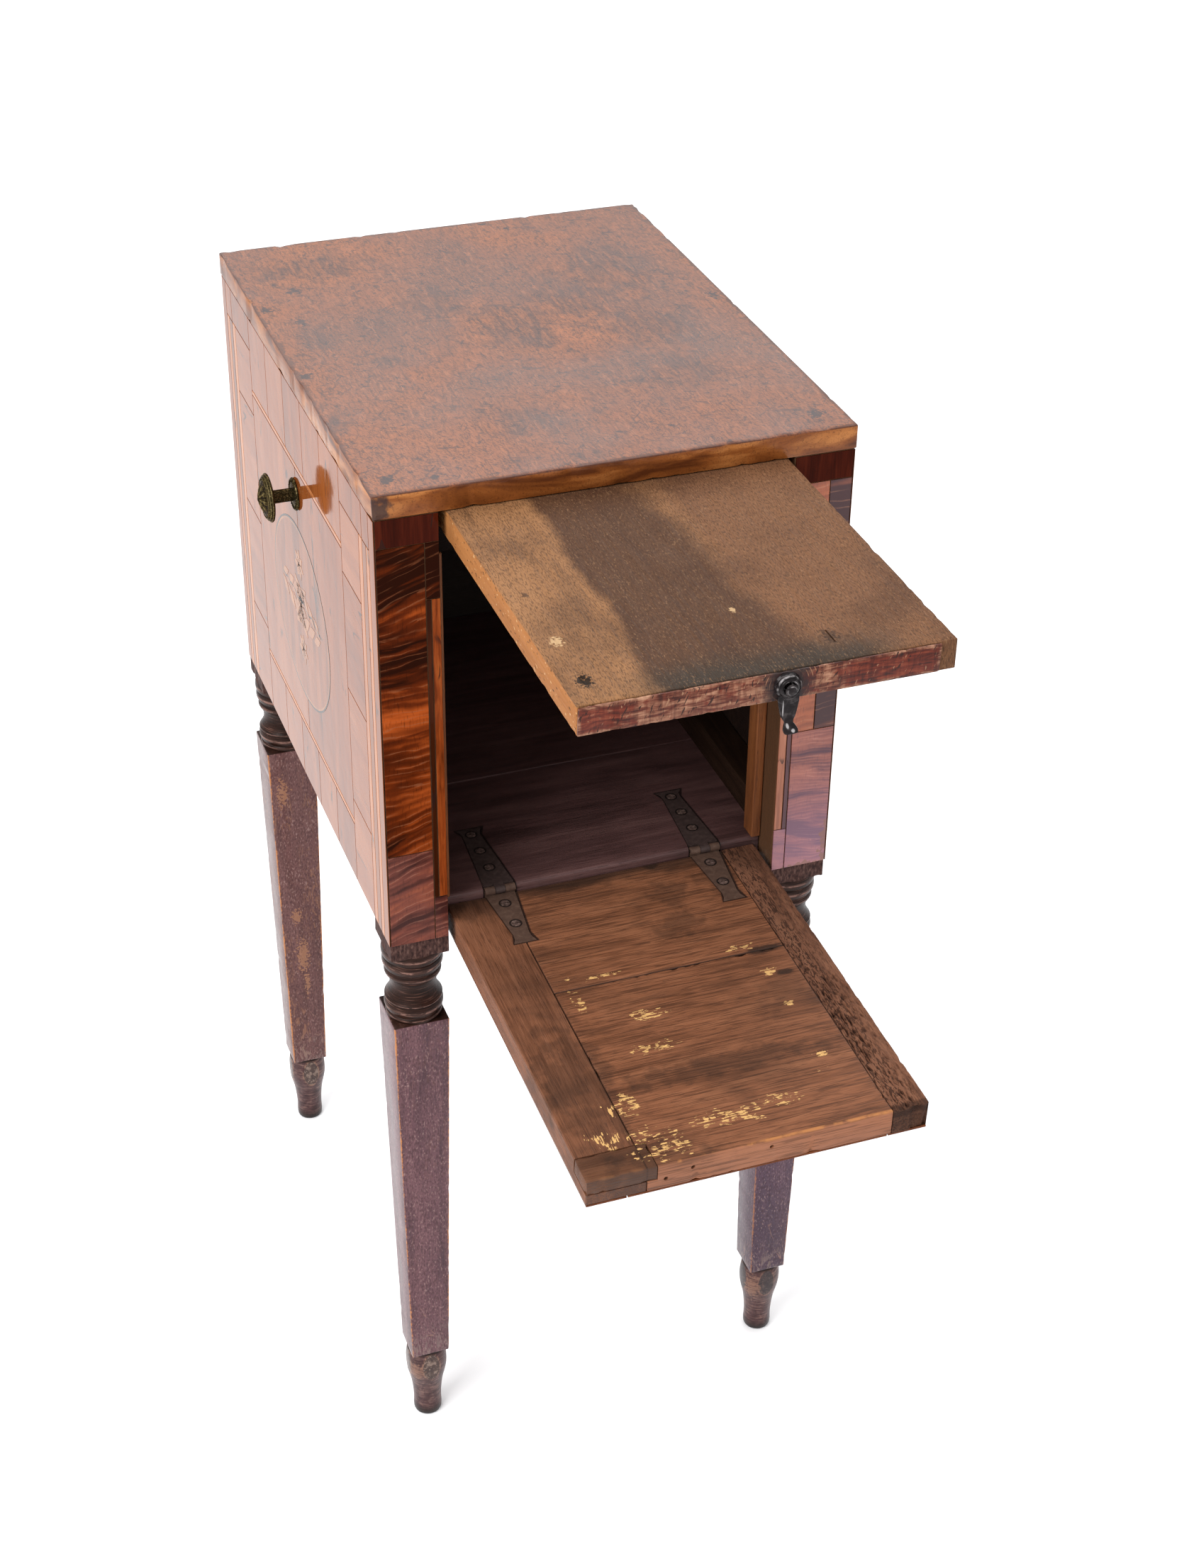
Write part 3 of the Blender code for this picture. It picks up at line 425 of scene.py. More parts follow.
@dataclass(frozen=True)
class Polished(Finish):
    """Polished veneer with a soft figure, cut into slabs that each have their own tone."""

    dark: Colour = (0.100, 0.0230, 0.0055)
    mid: Colour = (0.186, 0.0480, 0.0105)
    light: Colour = (0.252, 0.0740, 0.0180)
    grain: Grain = Grain.ALONG_Z
    cross: Grain = Grain.ALONG_Y
    figure: float = 0.020
    tone: float = 0.22
    gloss: float = 0.03
    shine: float = 0.085
    crack: float = 0.0
    skin: float = 0.0
    mark: Colour = (0.02, 0.008, 0.006)
    joint: Colour = (0.020, 0.007, 0.004)
    split: Colour = (0.006, 0.004, 0.004)

    def draw(self, sheet: Sheet, shader: bpy.types.Node) -> None:
        """Draw figure, fibres, slab tones and a clear coat."""
        here = sheet.here()
        slab = sheet.tag("slab")
        turned = sheet.tag("turned").ease(0.4, 0.6)
        first = sheet.turn(here, angles=self.grain.value)
        second = sheet.turn(here, angles=self.cross.value)
        way = sheet.out("Mix", {0: turned, 4: first, 5: second}, 1, data_type="VECTOR")
        seed = slab * 3.7
        figure, fibre, pores = sheet.effect("grain", Vector=way, Size=self.figure, Wander=0.9,
                                            Seed=seed)[:3]
        shade = figure * 0.75 + fibre * 0.35
        tone = (slab - 0.5) * self.tone
        shade = shade + tone
        colour = sheet.ramp(shade, (0.28, self.dark), (0.52, self.mid), (0.78, self.light))
        colour = sheet.mix(pores * 0.4, colour, self.dark)
        marks = sheet.effect("scratches", Vector=way, Size=0.045, Width=0.010)[0]
        colour = sheet.mix(marks * 0.8, colour, self.mark)
        if self.skin:
            deep = abs(sheet.parts(here)[0]).ease(self.skin - 0.0001, self.skin - 0.0004)
            colour = sheet.mix(deep * 0.85, colour, self.joint)
        if self.crack:
            _, y, z = sheet.parts(here)
            bent = (sheet.noise(here, 70.0, 4.0) - 0.5) * 0.012
            off = abs(z + bent - self.crack)
            split = off.ease(0.0010, 0.0004) * abs(y).ease(0.058, 0.050)
            colour = sheet.mix(split, colour, self.split)
        swell = sheet.noise(here, 38.0, 2.0)
        height = swell * 0.8 - marks * 0.15
        self.lay(sheet, shader, colour, swell.ease(0.3, 0.7, self.gloss, self.gloss + 0.07), height, 0.0006,
                 0.35, self.shine)


LIGHT_STRING = Polished("light string", dark=(0.25, 0.080, 0.024), mid=(0.33, 0.112, 0.034),
                        light=(0.40, 0.150, 0.050), figure=0.006)


@dataclass(frozen=True)
class Flame(Finish):
    """Figured walnut: smoky waves, thin bright curls and, where given, dark or glowing bands.

    A band is its height at the middle of the slab, its rise, its half width and its share, which is below
    zero for a glowing one.
    """

    at: Point = (0, 0, 0)
    angles: Point = (0, 0, 0)
    slope: float = 0.07
    middle: float = -0.139
    bands: tuple[Rect, ...] = ()
    dark: Colour = (0.016, 0.0032, 0.0011)
    mid: Colour = (0.092, 0.0145, 0.0026)
    light: Colour = (0.340, 0.0640, 0.0110)
    curl: Colour = (0.23, 0.082, 0.036)
    fan: float = 0.0
    # haze: a pale purple painted sheen, standing in for a reflection, strongest towards the bottom where
    # given
    haze: Colour = (0.29, 0.155, 0.235)
    haze_at: tuple[float, float] = (-9.0, -9.1)
    torn: tuple[Rect, ...] = ()
    curls: float = 1140.0
    shine: float = 0.015
    tear: Colour = (0.20, 0.095, 0.075)

    def draw(self, sheet: Sheet, shader: bpy.types.Node) -> None:
        """Draw the waves, then bands, curls and fibres, and a painted sheen where given."""
        here = sheet.turn(sheet.here(), at=self.at, angles=self.angles)
        slab = sheet.tag("slab")
        x, y, z = sheet.parts(here)
        sway = sheet.noise(here, 26.0, 2.0) * 0.012
        ends = z.ease(0.665, 0.725) + z.ease(0.575, 0.540)
        lean = ends * self.fan + self.slope
        lift = (x - self.middle) * lean
        rise = z - lift + sway
        flat = sheet.join(x + slab * 2.9, y, rise)
        broad = sheet.noise(flat * (13, 13, 44), 1.0, 3.0, 0.5)
        smoke = sheet.noise(flat * (22, 22, 130), 1.0, 4.0, 0.8)
        shifted = rise + smoke * 0.009
        wave = sheet.math("SINE", shifted * self.curls)
        shade = broad * 0.75 + smoke * 0.4
        shade = shade + wave * 0.03
        tone = (slab - 0.64) * 0.42
        for height, slant, wide, share in self.bands:
            off = z - height - (x - self.middle) * slant
            off = abs(off) + smoke * 0.012
            near = off.ease(wide + 0.009, 0.004)
            tone = tone - near * share
        shade = shade + tone
        colour = sheet.ramp(shade, (0.40, self.dark), (0.57, self.mid), (0.76, self.light))
        gaps = sheet.noise(flat * (45, 45, 90), 1.0, 2.0).ease(0.42, 0.58)
        line = wave.ease(0.78, 0.99) * gaps
        line = line * shade.ease(0.36, 0.60, 0.25, 0.42)
        colour = sheet.mix(line, colour, self.curl)
        fibre = sheet.noise(flat * (900, 900, 160), 1.0, 3.0)
        colour = sheet.mix(fibre.ease(0.5, 0.8, 0.0, 0.5), colour, self.dark)
        # painted sheen: a pale purple veil, a painted reflection, growing towards the bottom
        colour = sheet.mix(z.ease(*self.haze_at, 0.0, 0.4), colour, self.haze)
        for spot_x, spot_z, wide, tall in self.torn:
            tear = sheet.spot(here, (spot_x, -0.199, spot_z), (wide, 1, tall), 3.0, 260.0)
            colour = sheet.mix(tear.ease(0.35, 0.55, 0.0, 0.8), colour, self.tear)
        swell = sheet.noise(here, 45.0, 2.0)
        self.lay(sheet, shader, colour, swell.ease(0.3, 0.7, 0.18, 0.32), swell, 0.0005, 0.3, self.shine)


@dataclass(frozen=True)
class Plain(Finish):
    """Plain wood with grain, pores and grime; raw or lightly waxed; where asked, with painted shade on
    faces inside the case and painted shadow round hinge leaves.
    """

    dark: Colour = (0.012, 0.006, 0.005)
    mid: Colour = (0.030, 0.015, 0.012)
    light: Colour = (0.055, 0.030, 0.022)
    grain: Grain = Grain.ALONG_X
    at: Point = (0, 0, 0)
    angles: Point = (0, 0, 0)
    figure: float = 0.012
    rough: float = 0.6
    relief: float = 0.0003
    shine: float = 0.3
    # faces in front of this y, inside the case, get painted shade
    outside: float = -9.0
    leaf: Rect = (0.0, 0.0, 0.0, 0.0)
    leaf_root: float = 0.0
    leaf_half: float = 0.0105
    hinges: tuple[float, float] = (-0.0725, 0.0740)
    # painted shadow in the gaps round the hinge leaves
    gap: Colour = (0.006, 0.003, 0.0025)
    unlit: Colour = (0.004, 0.002, 0.0015)

    def gaps(self, sheet: Sheet, colour: Wire, across: Wire, along: Wire) -> Wire:
        """Paint shadow into the gaps round two tapering hinge leaves.

        Args:
            sheet: the node sheet.
            colour: the colour so far.
            across: place along the hinge line.
            along: place along the leaves.

        Returns:
            The colour with the painted shadow in the gaps.
        """
        length, neck, tail, tail_length = self.leaf
        away = along - self.leaf_root
        body = away.ease(0.0, length - tail_length, self.leaf_half, neck / 2, "LINEAR")
        flare = away.ease(length - tail_length, length, 0.0, (tail - neck) / 2, "LINEAR")
        half = body + flare
        for place in self.hinges:
            off = abs(across - (place + 0.0003))
            out = sheet.math("MAXIMUM", off - half, away - length)
            # painted shadow in the gap round each hinge leaf
            colour = sheet.mix(out.ease(0.0016, 0.0006, 0.0, 0.9), colour, self.gap)
        return colour

    def base(self, sheet: Sheet) -> tuple[Wire, Wire, Wire, Wire]:
        """Draw the bare wood, with painted shade on faces inside the outside plane.

        Args:
            sheet: the node sheet.

        Returns:
            The local coordinates, the colour, the roughness and the relief.
        """
        here = sheet.turn(sheet.here(), at=self.at, angles=self.angles)
        way = sheet.turn(here, angles=self.grain.value)
        figure, fibre, pores = sheet.effect("grain", Vector=way, Size=self.figure, Wander=1.2)[:3]
        shade = figure * 0.7 + fibre * 0.4
        colour = sheet.ramp(shade, (0.30, self.dark), (0.54, self.mid), (0.80, self.light))
        colour = sheet.mix(pores * 0.6, colour, self.dark)
        grime = sheet.noise(here, 16.0, 4.0).ease(0.52, 0.75)
        colour = sheet.mix(grime * 0.45, colour, self.dark)
        # painted shade: faces inside the case are darkened towards the unlit colour
        painted_inner_shade = sheet.parts(here)[1].ease(self.outside, self.outside - 0.001, 0.0, 0.8)
        colour = sheet.mix(painted_inner_shade, colour, self.unlit)
        height = fibre - pores * 0.5
        return here, colour, fibre.ease(0.2, 0.8, self.rough - 0.1, self.rough + 0.15), height

    def draw(self, sheet: Sheet, shader: bpy.types.Node) -> None:
        """Lay the bare wood, with painted shadow round the hinge leaves where given."""
        here, colour, roughness, height = self.base(sheet)
        if self.leaf[0]:
            x, y, _ = sheet.parts(here)
            colour = self.gaps(sheet, colour, x, y)
        self.lay(sheet, shader, colour, roughness, height, self.relief, 0.6, self.shine)


@dataclass(frozen=True)
class TopVeneer(Finish):
    """The worn top: orange brown, clouded grey in the middle, with ink spots and nicked edges."""

    half: tuple[float, float] = (0.1555, 0.1993)
    under: float = 0.764
    upper: float = 0.780
    dark: Colour = (0.100, 0.033, 0.017)
    mid: Colour = (0.174, 0.054, 0.021)
    light: Colour = (0.262, 0.084, 0.028)
    grey: Colour = (0.060, 0.026, 0.020)
    ink: Colour = (0.016, 0.011, 0.014)
    clouds: tuple[Rect, ...] = ((-0.128, 0.031, 0.015, 0.024), (-0.037, 0.066, 0.026, 0.034),
                                (0.004, 0.013, 0.034, 0.044), (0.103, 0.083, 0.036, 0.050),
                                (-0.094, -0.017, 0.010, 0.013), (-0.150, -0.098, 0.011, 0.015),
                                (-0.013, -0.186, 0.010, 0.008), (0.058, 0.049, 0.036, 0.050),
                                (0.088, -0.014, 0.036, 0.042), (0.081, -0.090, 0.030, 0.032),
                                (-0.038, -0.129, 0.028, 0.022), (-0.100, 0.150, 0.040, 0.024))
    spots: tuple[Rect, ...] = ((-0.122, 0.115, 0.005, 0.006), (-0.149, -0.023, 0.004, 0.005),
                               (-0.140, -0.180, 0.006, 0.005), (-0.112, -0.185, 0.003, 0.003),
                               (0.137, -0.176, 0.005, 0.006), (0.147, 0.020, 0.004, 0.006),
                               (0.038, 0.193, 0.004, 0.003), (0.051, 0.181, 0.003, 0.003),
                               (-0.147, 0.088, 0.004, 0.005), (-0.131, 0.062, 0.003, 0.008))
    fuzz: Colour = (0.040, 0.016, 0.011)
    pale: Colour = (0.29, 0.105, 0.045)
    dash: Colour = (0.034, 0.014, 0.010)
    grime: Colour = (0.060, 0.022, 0.014)
    edge_dark: Colour = (0.075, 0.019, 0.0045)
    edge_mid: Colour = (0.19, 0.056, 0.012)
    edge_light: Colour = (0.36, 0.135, 0.036)
    edge_fibre: Colour = (0.06, 0.015, 0.004)

    def draw(self, sheet: Sheet, shader: bpy.types.Node) -> None:
        """Draw the clouded top face, its spots and scratches, and the figured edges."""
        here = sheet.here()
        way = sheet.turn(here, angles=Grain.ALONG_Y.value)
        figure, fibre, pores = sheet.effect("grain", Vector=way, Size=0.03, Wander=1.0)[:3]
        broad = sheet.noise(here, 11.0, 5.0)
        shade = broad * 0.75 + figure * 0.15
        shade = shade + fibre * 0.22
        flush = sheet.parts(here)[0].ease(0.05, -0.15, 0.0, 0.05)
        shade = shade + flush
        colour = sheet.ramp(shade, (0.40, self.dark), (0.56, self.mid), (0.76, self.light))
        haze = self.marks(sheet, here, self.clouds, 2.2, 60.0)
        streaks = sheet.noise(way * (45, 260, 260), 1.0, 4.0, 0.5)
        haze = haze * streaks.ease(0.36, 0.60, 0.15, 0.78)
        colour = sheet.mix(haze, colour, self.grey)
        fuzz = sheet.noise(way * (120, 700, 700), 1.0, 4.0, 1.2)
        colour = sheet.mix(fuzz.ease(0.50, 0.64, 0.0, 0.60), colour, self.fuzz)
        pale = sheet.noise(way * (70, 420, 420), 1.0, 4.0, 1.0)
        colour = sheet.mix(pale.ease(0.52, 0.70, 0.0, 0.42), colour, self.pale)
        colour = sheet.mix(pores * 0.5, colour, self.dark)
        leaning = sheet.turn(here, angles=(0, 0, 0.6))
        dashes = sheet.noise(leaning * (1500, 330, 330), 1.0, 3.0, 0.5)
        colour = sheet.mix(dashes.ease(0.54, 0.63, 0.0, 0.66), colour, self.dash)
        spots = self.marks(sheet, here, self.spots, 3.4, 420.0)
        colour = sheet.mix(spots * 0.85, colour, self.ink)
        for angle, size in ((0.9, 0.012), (2.3, 0.010), (1.4, 0.007), (0.2, 0.009), (1.9, 0.015),
                            (2.8, 0.018)):
            lines = sheet.effect("scratches", Vector=sheet.turn(here, angles=(0, 0, angle)), Size=size,
                                 Width=0.016)[0]
            colour = sheet.mix(lines * 0.55, colour, self.ink)
        low, high = (-self.half[0], -self.half[1], self.under), (*self.half, self.upper)
        distance = sheet.effect("edge", Vector=here, Low=low, High=high)[0]
        nicks = sheet.effect("wear", Vector=here, Distance=distance, Reach=0.0058, Grit=130.0)[0]
        colour = sheet.mix(nicks * 0.80, colour, self.grime)
        height = sheet.parts(here)[2]
        side = height.ease(self.upper - 0.0006, self.upper - 0.0012)
        bands = sheet.noise(here * (16, 16, 70), 1.0, 4.0, 1.0)
        edge = sheet.ramp(bands, (0.34, self.edge_dark), (0.50, self.edge_mid),
                          (0.68, self.edge_light))
        edge = sheet.mix(fuzz.ease(0.5, 0.7, 0.0, 0.5), edge, self.edge_fibre)
        smudge = sheet.spot(here, (-0.1555, -0.1993, 0.771), (0.013, 0.0012, 0.014), 1.8, 220.0)
        edge = sheet.mix(smudge * 0.85, edge, self.ink)
        colour = sheet.mix(side, colour, edge)
        relief = fibre * 0.5 - nicks * 0.6
        self.lay(sheet, shader, colour, broad.ease(0.3, 0.7, 0.24, 0.38), relief, 0.0003, 0.4, 0.225)

    def marks(self, sheet: Sheet, here: Wire, places: Sequence[Rect], ragged: float, grit: float) -> Wire:
        """Give one mask of several spots on the top face.

        Args:
            sheet: the node sheet.
            here: coordinates.
            places: middle and half sizes of each spot.
            ragged: how ragged the outlines are.
            grit: how fine they are.

        Returns:
            The mask.
        """
        mask = 0.0
        for x, y, wide, deep in places:
            spot = sheet.spot(here, (x, y, self.upper), (wide, deep, 1), ragged, grit)
            mask = sheet.math("MAXIMUM", mask, spot)
        return mask


@dataclass(frozen=True)
class LegWood(Finish):
    """Stained leg: shiny turnings, worn arrises, a scuffed foot and a rough sawn block on top; with sooty
    dirt and painted shade low on the right-hand legs, and painted shade under the square.
    """

    across: float = 0.13475
    along: float = 0.17875
    veneer_end: float = 0.452
    post_end: float = 0.4392
    square_start: float = 0.383
    square_end: float = 0.0675
    wide: float = 0.01935
    narrow: float = 0.0140
    dark: Colour = (0.040, 0.0155, 0.0175)
    mid: Colour = (0.115, 0.048, 0.051)
    light: Colour = (0.196, 0.094, 0.096)
    bare: Colour = (0.40, 0.155, 0.052)
    patch: Colour = (0.20, 0.090, 0.055)
    crest: Colour = (0.220, 0.116, 0.092)
    post: Colour = (0.13, 0.056, 0.025)
    crests: tuple[tuple[float, float], ...] = ((0.3973, 0.0008), (0.3916, 0.0016), (0.3852, 0.0007),
                                               (0.4183, 0.0010), (0.4268, 0.0018), (0.4352, 0.0014))
    chipped: tuple[Rect, ...] = ((-0.1355, 0.180, 0.0050, 0.017), (-0.1390, 0.222, 0.0040, 0.007),
                                 (-0.1440, 0.345, 0.0045, 0.012), (-0.1330, 0.150, 0.0020, 0.012))
    violet: Colour = (0.066, 0.046, 0.086)
    brown: Colour = (0.105, 0.042, 0.028)
    # a dark bluish tone for sooty dirt and painted shade low on the right-hand legs
    soot_and_shade: Colour = (0.028, 0.023, 0.036)
    speck: Colour = (0.30, 0.19, 0.17)
    chip: Colour = (0.27, 0.125, 0.068)
    grit: Colour = (0.19, 0.135, 0.12)
    neck_dark: Colour = (0.009, 0.0038, 0.0026)
    neck_mid: Colour = (0.028, 0.0115, 0.0080)
    neck_light: Colour = (0.110, 0.054, 0.040)
    sawn_dark: Colour = (0.022, 0.010, 0.009)
    sawn_mid: Colour = (0.062, 0.030, 0.025)
    sawn_light: Colour = (0.120, 0.066, 0.053)
    post_dark: Colour = (0.05, 0.03, 0.018)
    foot_dark: Colour = (0.030, 0.012, 0.012)
    foot_mid: Colour = (0.064, 0.028, 0.028)
    foot_light: Colour = (0.17, 0.095, 0.078)
    flat_dark: Colour = (0.050, 0.032, 0.028)
    flat_light: Colour = (0.19, 0.135, 0.11)
    rim: Colour = (0.23, 0.125, 0.085)
    # sooty dirt and painted shade on the flats of the right-hand feet
    flat_soot_and_shade: Colour = (0.026, 0.021, 0.025)
    foot_bare: Colour = (0.21, 0.108, 0.072)
    sole: Colour = (0.012, 0.008, 0.007)
    # collar: painted shade on the foot just under the square
    collar: Colour = (0.012, 0.006, 0.005)

    def draw(self, sheet: Sheet, shader: bpy.types.Node) -> None:
        """Draw each stretch of the leg by its height."""
        here = sheet.here()
        x, y, z = sheet.parts(here)
        off_x = abs(abs(x) - self.across)
        off_y = abs(abs(y) - self.along)
        way = sheet.turn(here, angles=Grain.ALONG_Z.value)
        figure, fibre, pores = sheet.effect("grain", Vector=way, Size=0.012, Wander=0.8)[:3]
        shade = figure * 0.7 + fibre * 0.4
        colour = sheet.ramp(shade, (0.30, self.dark), (0.54, self.mid), (0.80, self.light))
        colour = sheet.mix(pores * 0.5, colour, self.dark)
        colour = sheet.mix(x.ease(-0.20, 0.12, 0.12, 0.5), colour, self.violet)
        older = y.ease(-0.1, 0.1)
        colour = sheet.mix(older * 0.55, colour, self.brown)
        # sooty dirt and painted shade: darker and bluer towards the floor on the right-hand legs
        sooty = z.ease(0.20, 0.075) * x.ease(-0.1, 0.1, 0.0, 0.46)
        colour = sheet.mix(sooty, colour, self.soot_and_shade)
        speck = sheet.noise(here * (900, 900, 420), 1.0, 3.0)
        colour = sheet.mix(speck.ease(0.50, 0.36, 0.0, 0.6), colour, self.dark)
        colour = sheet.mix(speck.ease(0.58, 0.70, 0.0, 0.55), colour, self.speck)
        blots = sheet.noise(here * (34, 34, 12), 1.0, 5.0, 0.6)
        chips = sheet.noise(here * (260, 260, 75), 1.0, 6.0, 2.0)
        worn = chips.ease(0.54, 0.60) * blots.ease(0.46, 0.62)
        worn = worn * (older * 0.65 + 0.10)
        colour = sheet.mix(worn, colour, self.patch)
        for spot_x, spot_z, wide, tall in self.chipped:
            chip = sheet.spot(here, (spot_x, self.along - 0.017, spot_z), (wide, 0.006, tall), 4.4, 560.0)
            colour = sheet.mix(chip.ease(0.40, 0.62, 0.0, 0.75), colour, self.chip)
        lines = sheet.effect("scratches", Vector=sheet.turn(here, angles=(0.2, 1.1, 0.2)), Size=0.02,
                             Width=0.012)[0]
        low_end = z.ease(0.16, 0.075)
        colour = sheet.mix(lines * low_end * 0.8, colour, self.crest)
        slope = (self.wide - self.narrow) / (self.square_start - self.square_end)
        half = z * slope + (self.narrow - self.square_end * slope)
        arris = half - sheet.math("MINIMUM", off_x, off_y)
        rubbed = sheet.effect("wear", Vector=here, Distance=arris, Reach=0.0020, Grit=420.0)[0]
        colour = sheet.mix(rubbed * x.ease(-0.1, 0.1, 0.9, 0.5), colour, self.bare)
        grit = z.ease(0.105, 0.070) * chips.ease(0.48, 0.60)
        colour = sheet.mix(grit * 0.55, colour, self.grit)
        hoops = sheet.noise(here * (75, 75, 1300), 1.0, 4.0)
        turned = sheet.ramp(hoops, (0.35, self.neck_dark), (0.60, self.neck_mid),
                            (0.72, self.neck_light))
        rubs = sheet.noise(here * (130, 130, 500), 1.0, 4.0, 0.5)
        for height, reach in self.crests:
            off = abs(z - height)
            off = off + (rubs - 0.5) * 0.004
            band = off.ease(reach, reach * 0.3) * rubs.ease(0.44, 0.60, 0.10, 0.95)
            turned = sheet.mix(band, turned, self.crest)
        neck = z.ease(self.square_start - 0.0004, self.square_start - 0.0001)
        colour = sheet.mix(neck, colour, turned)
        sawn = sheet.noise(here * (620, 620, 260), 1.0, 4.0)
        block = sheet.ramp(sawn, (0.35, self.sawn_dark), (0.56, self.sawn_mid),
                           (0.74, self.sawn_light))
        inner = sheet.mix(fibre * 0.8, self.post, self.post_dark)
        block = sheet.mix(z.ease(self.veneer_end, self.veneer_end + 0.004), block, inner)
        above = z.ease(self.post_end - 0.0003, self.post_end + 0.0003)
        colour = sheet.mix(above, colour, block)
        colour = self.draw_foot(sheet, colour, here, z, (off_x, off_y))
        rough = blots.ease(0.3, 0.7, 0.26, 0.38) + above * 0.4
        relief = sawn * (above * 1.5) + (fibre * 0.5 - pores)
        self.lay(sheet, shader, colour, rough, relief, 0.0003, 0.45, 0.09)
        sheet.set(shader.inputs["Coat Weight"], (1.0 - neck) * 0.22)
        shader.inputs["Coat Roughness"].default_value = 0.16

    def draw_foot(self, sheet: Sheet, colour: Wire, here: Wire, z: Wire, off: tuple[Wire, Wire]) -> Wire:
        """Lay the scuffed foot over the leg's colour, with painted shade under the square and sooty dirt
        and painted shade on the right-hand flats.

        Args:
            sheet: the node sheet.
            colour: the leg's colour so far.
            here: coordinates.
            z: height.
            off: distances from the leg's axis on X and Y.

        Returns:
            The colour with the foot.
        """
        chips = sheet.noise(here, 210.0, 5.0, 0.6)
        hoops = sheet.noise(here * (80, 80, 900), 1.0, 4.0)
        grain = hoops * 0.6 + chips * 0.4
        wood = sheet.ramp(grain, (0.36, self.foot_dark), (0.50, self.foot_mid),
                          (0.66, self.foot_light))
        flat = sheet.math("MAXIMUM", *off).ease(0.01375, 0.01395)
        lines = sheet.effect("scratches", Vector=sheet.turn(here, angles=(0.7, 0.9, 0.4)), Size=0.004,
                             Width=0.05)[0]
        scuffed = sheet.mix(sheet.math("MAXIMUM", lines, chips.ease(0.52, 0.66)), self.flat_dark,
                            self.flat_light)
        rim = sheet.math("MAXIMUM", *off).ease(0.01315, 0.01365) * chips.ease(0.40, 0.55)
        right = sheet.parts(here)[0].ease(-0.1, 0.1)
        wood = sheet.mix(rim * right.ease(0.0, 1.0, 0.75, 0.3), wood, self.rim)
        # sooty dirt and painted shade on the flats of the right-hand feet
        scuffed = sheet.mix(right * 0.75, scuffed, self.flat_soot_and_shade)
        wood = sheet.mix(flat * 0.9, wood, scuffed)
        for spot_x, tall in ((-0.1455, 0.009), (0.1250, 0.013)):
            bare = sheet.spot(here, (spot_x, -0.1890, 0.048), (0.007, 0.007, tall), 2.6, 420.0)
            bare = bare * hoops.ease(0.40, 0.55, 0.35, 0.85)
            wood = sheet.mix(bare, wood, self.foot_bare)
        wood = sheet.mix(z.ease(0.012, 0.001), wood, self.sole)
        # painted shade in the crease on the foot just under the square
        wood = sheet.mix(z.ease(0.0640, 0.0668), wood, self.collar)
        return sheet.mix(z.ease(self.square_end + 0.0002, self.square_end - 0.0004), colour, wood)


@dataclass(frozen=True)
class SlideWood(Plain):
    """The slide's bare board: tan, with a dark wet band, a grey front strip and a few flecks."""

    band: Colour = (0.045, 0.019, 0.0105)
    right: Colour = (0.128, 0.056, 0.027)
    grey: Colour = (0.030, 0.023, 0.017)
    cream: Colour = (0.50, 0.33, 0.17)
    upper: float = 0.7635
    front: float = -0.4303
    dash: Colour = (0.030, 0.014, 0.007)
    speck: Colour = (0.33, 0.18, 0.09)
    hole: Colour = (0.01, 0.006, 0.004)
    slot: Colour = (0.012, 0.007, 0.005)
    flank_dark: Colour = (0.20, 0.070, 0.019)
    flank_light: Colour = (0.37, 0.155, 0.048)
    flank_hole: Colour = (0.03, 0.012, 0.005)

    def draw(self, sheet: Sheet, shader: bpy.types.Node) -> None:
        """Draw the board, then its stains, flecks and worn edges."""
        here, colour, roughness, height = self.base(sheet)
        x, y, z = sheet.parts(here)
        wave = sheet.noise(here, 24.0, 4.0) - 0.5
        shifted = x + wave * 0.035
        mottle = sheet.noise(here, 18.0, 5.0)
        colour = sheet.mix(shifted.ease(0.0, 0.03, 0.0, 0.8), colour, self.right)
        colour = sheet.mix(mottle.ease(0.48, 0.72, 0.0, 0.5), colour, self.band)
        lean = shifted + (y + 0.2) * 0.13
        wet = shifted.ease(-0.066, -0.056) * lean.ease(0.014, -0.008)
        colour = sheet.mix(wet * 0.85, colour, self.band)
        deep = wave * 0.02 + y
        strip = deep.ease(self.front + 0.036,
                          self.front + 0.006) * (shifted.ease(-0.088, -0.045) * x.ease(0.09, 0.05))
        colour = sheet.mix(strip * 0.92, colour, self.grey)
        dashes = sheet.noise(here * (1500, 300, 300), 1.0, 3.0, 0.4)
        colour = sheet.mix(dashes.ease(0.50, 0.60, 0.0, 0.55), colour, self.dash)
        specks = sheet.noise(here * (1250, 420, 420), 1.0, 3.0, 0.6)
        colour = sheet.mix(specks.ease(0.54, 0.72, 0.0, 0.30), colour, self.speck)
        for spot_x, spot_y, wide, tone, share in (
                (-0.098, -0.364, 0.005, self.cream, 0.7), (0.005, -0.362, 0.0026, self.cream, 0.7),
                (-0.097, -0.407, 0.007, self.hole, 0.95), (-0.098, -0.310, 0.003, self.dark, 0.9),
                (0.045, -0.405, 0.007, self.slot, 0.6), (-0.060, -0.388, 0.004, self.dark, 0.7)):
            mark = sheet.spot(here, (spot_x, spot_y, self.upper), (wide * 0.7, wide, 1), 3.6, 620.0)
            colour = sheet.mix(mark * share, colour, tone)
        lines = sheet.effect("scratches", Vector=sheet.turn(here, angles=(0, 0, 1.2)), Size=0.03,
                             Width=0.006)[0]
        colour = sheet.mix(lines * 0.4, colour, self.dark)
        side = z.ease(self.upper - 0.0006, self.upper - 0.0014) * x.ease(-0.1085, -0.1095)
        flank = sheet.mix(sheet.noise(here * (60, 14, 220), 1.0, 4.0), self.flank_dark, self.flank_light)
        holes = sheet.noise(here * (300, 220, 420), 1.0, 3.0)
        flank = sheet.mix(holes.ease(0.62, 0.68, 0.0, 0.85), flank, self.flank_hole)
        flank = sheet.mix(holes.ease(0.36, 0.31, 0.0, 0.8), flank, self.cream)
        colour = sheet.mix(side, colour, flank)
        self.lay(sheet, shader, colour, roughness, height, self.relief, 0.5, self.shine)


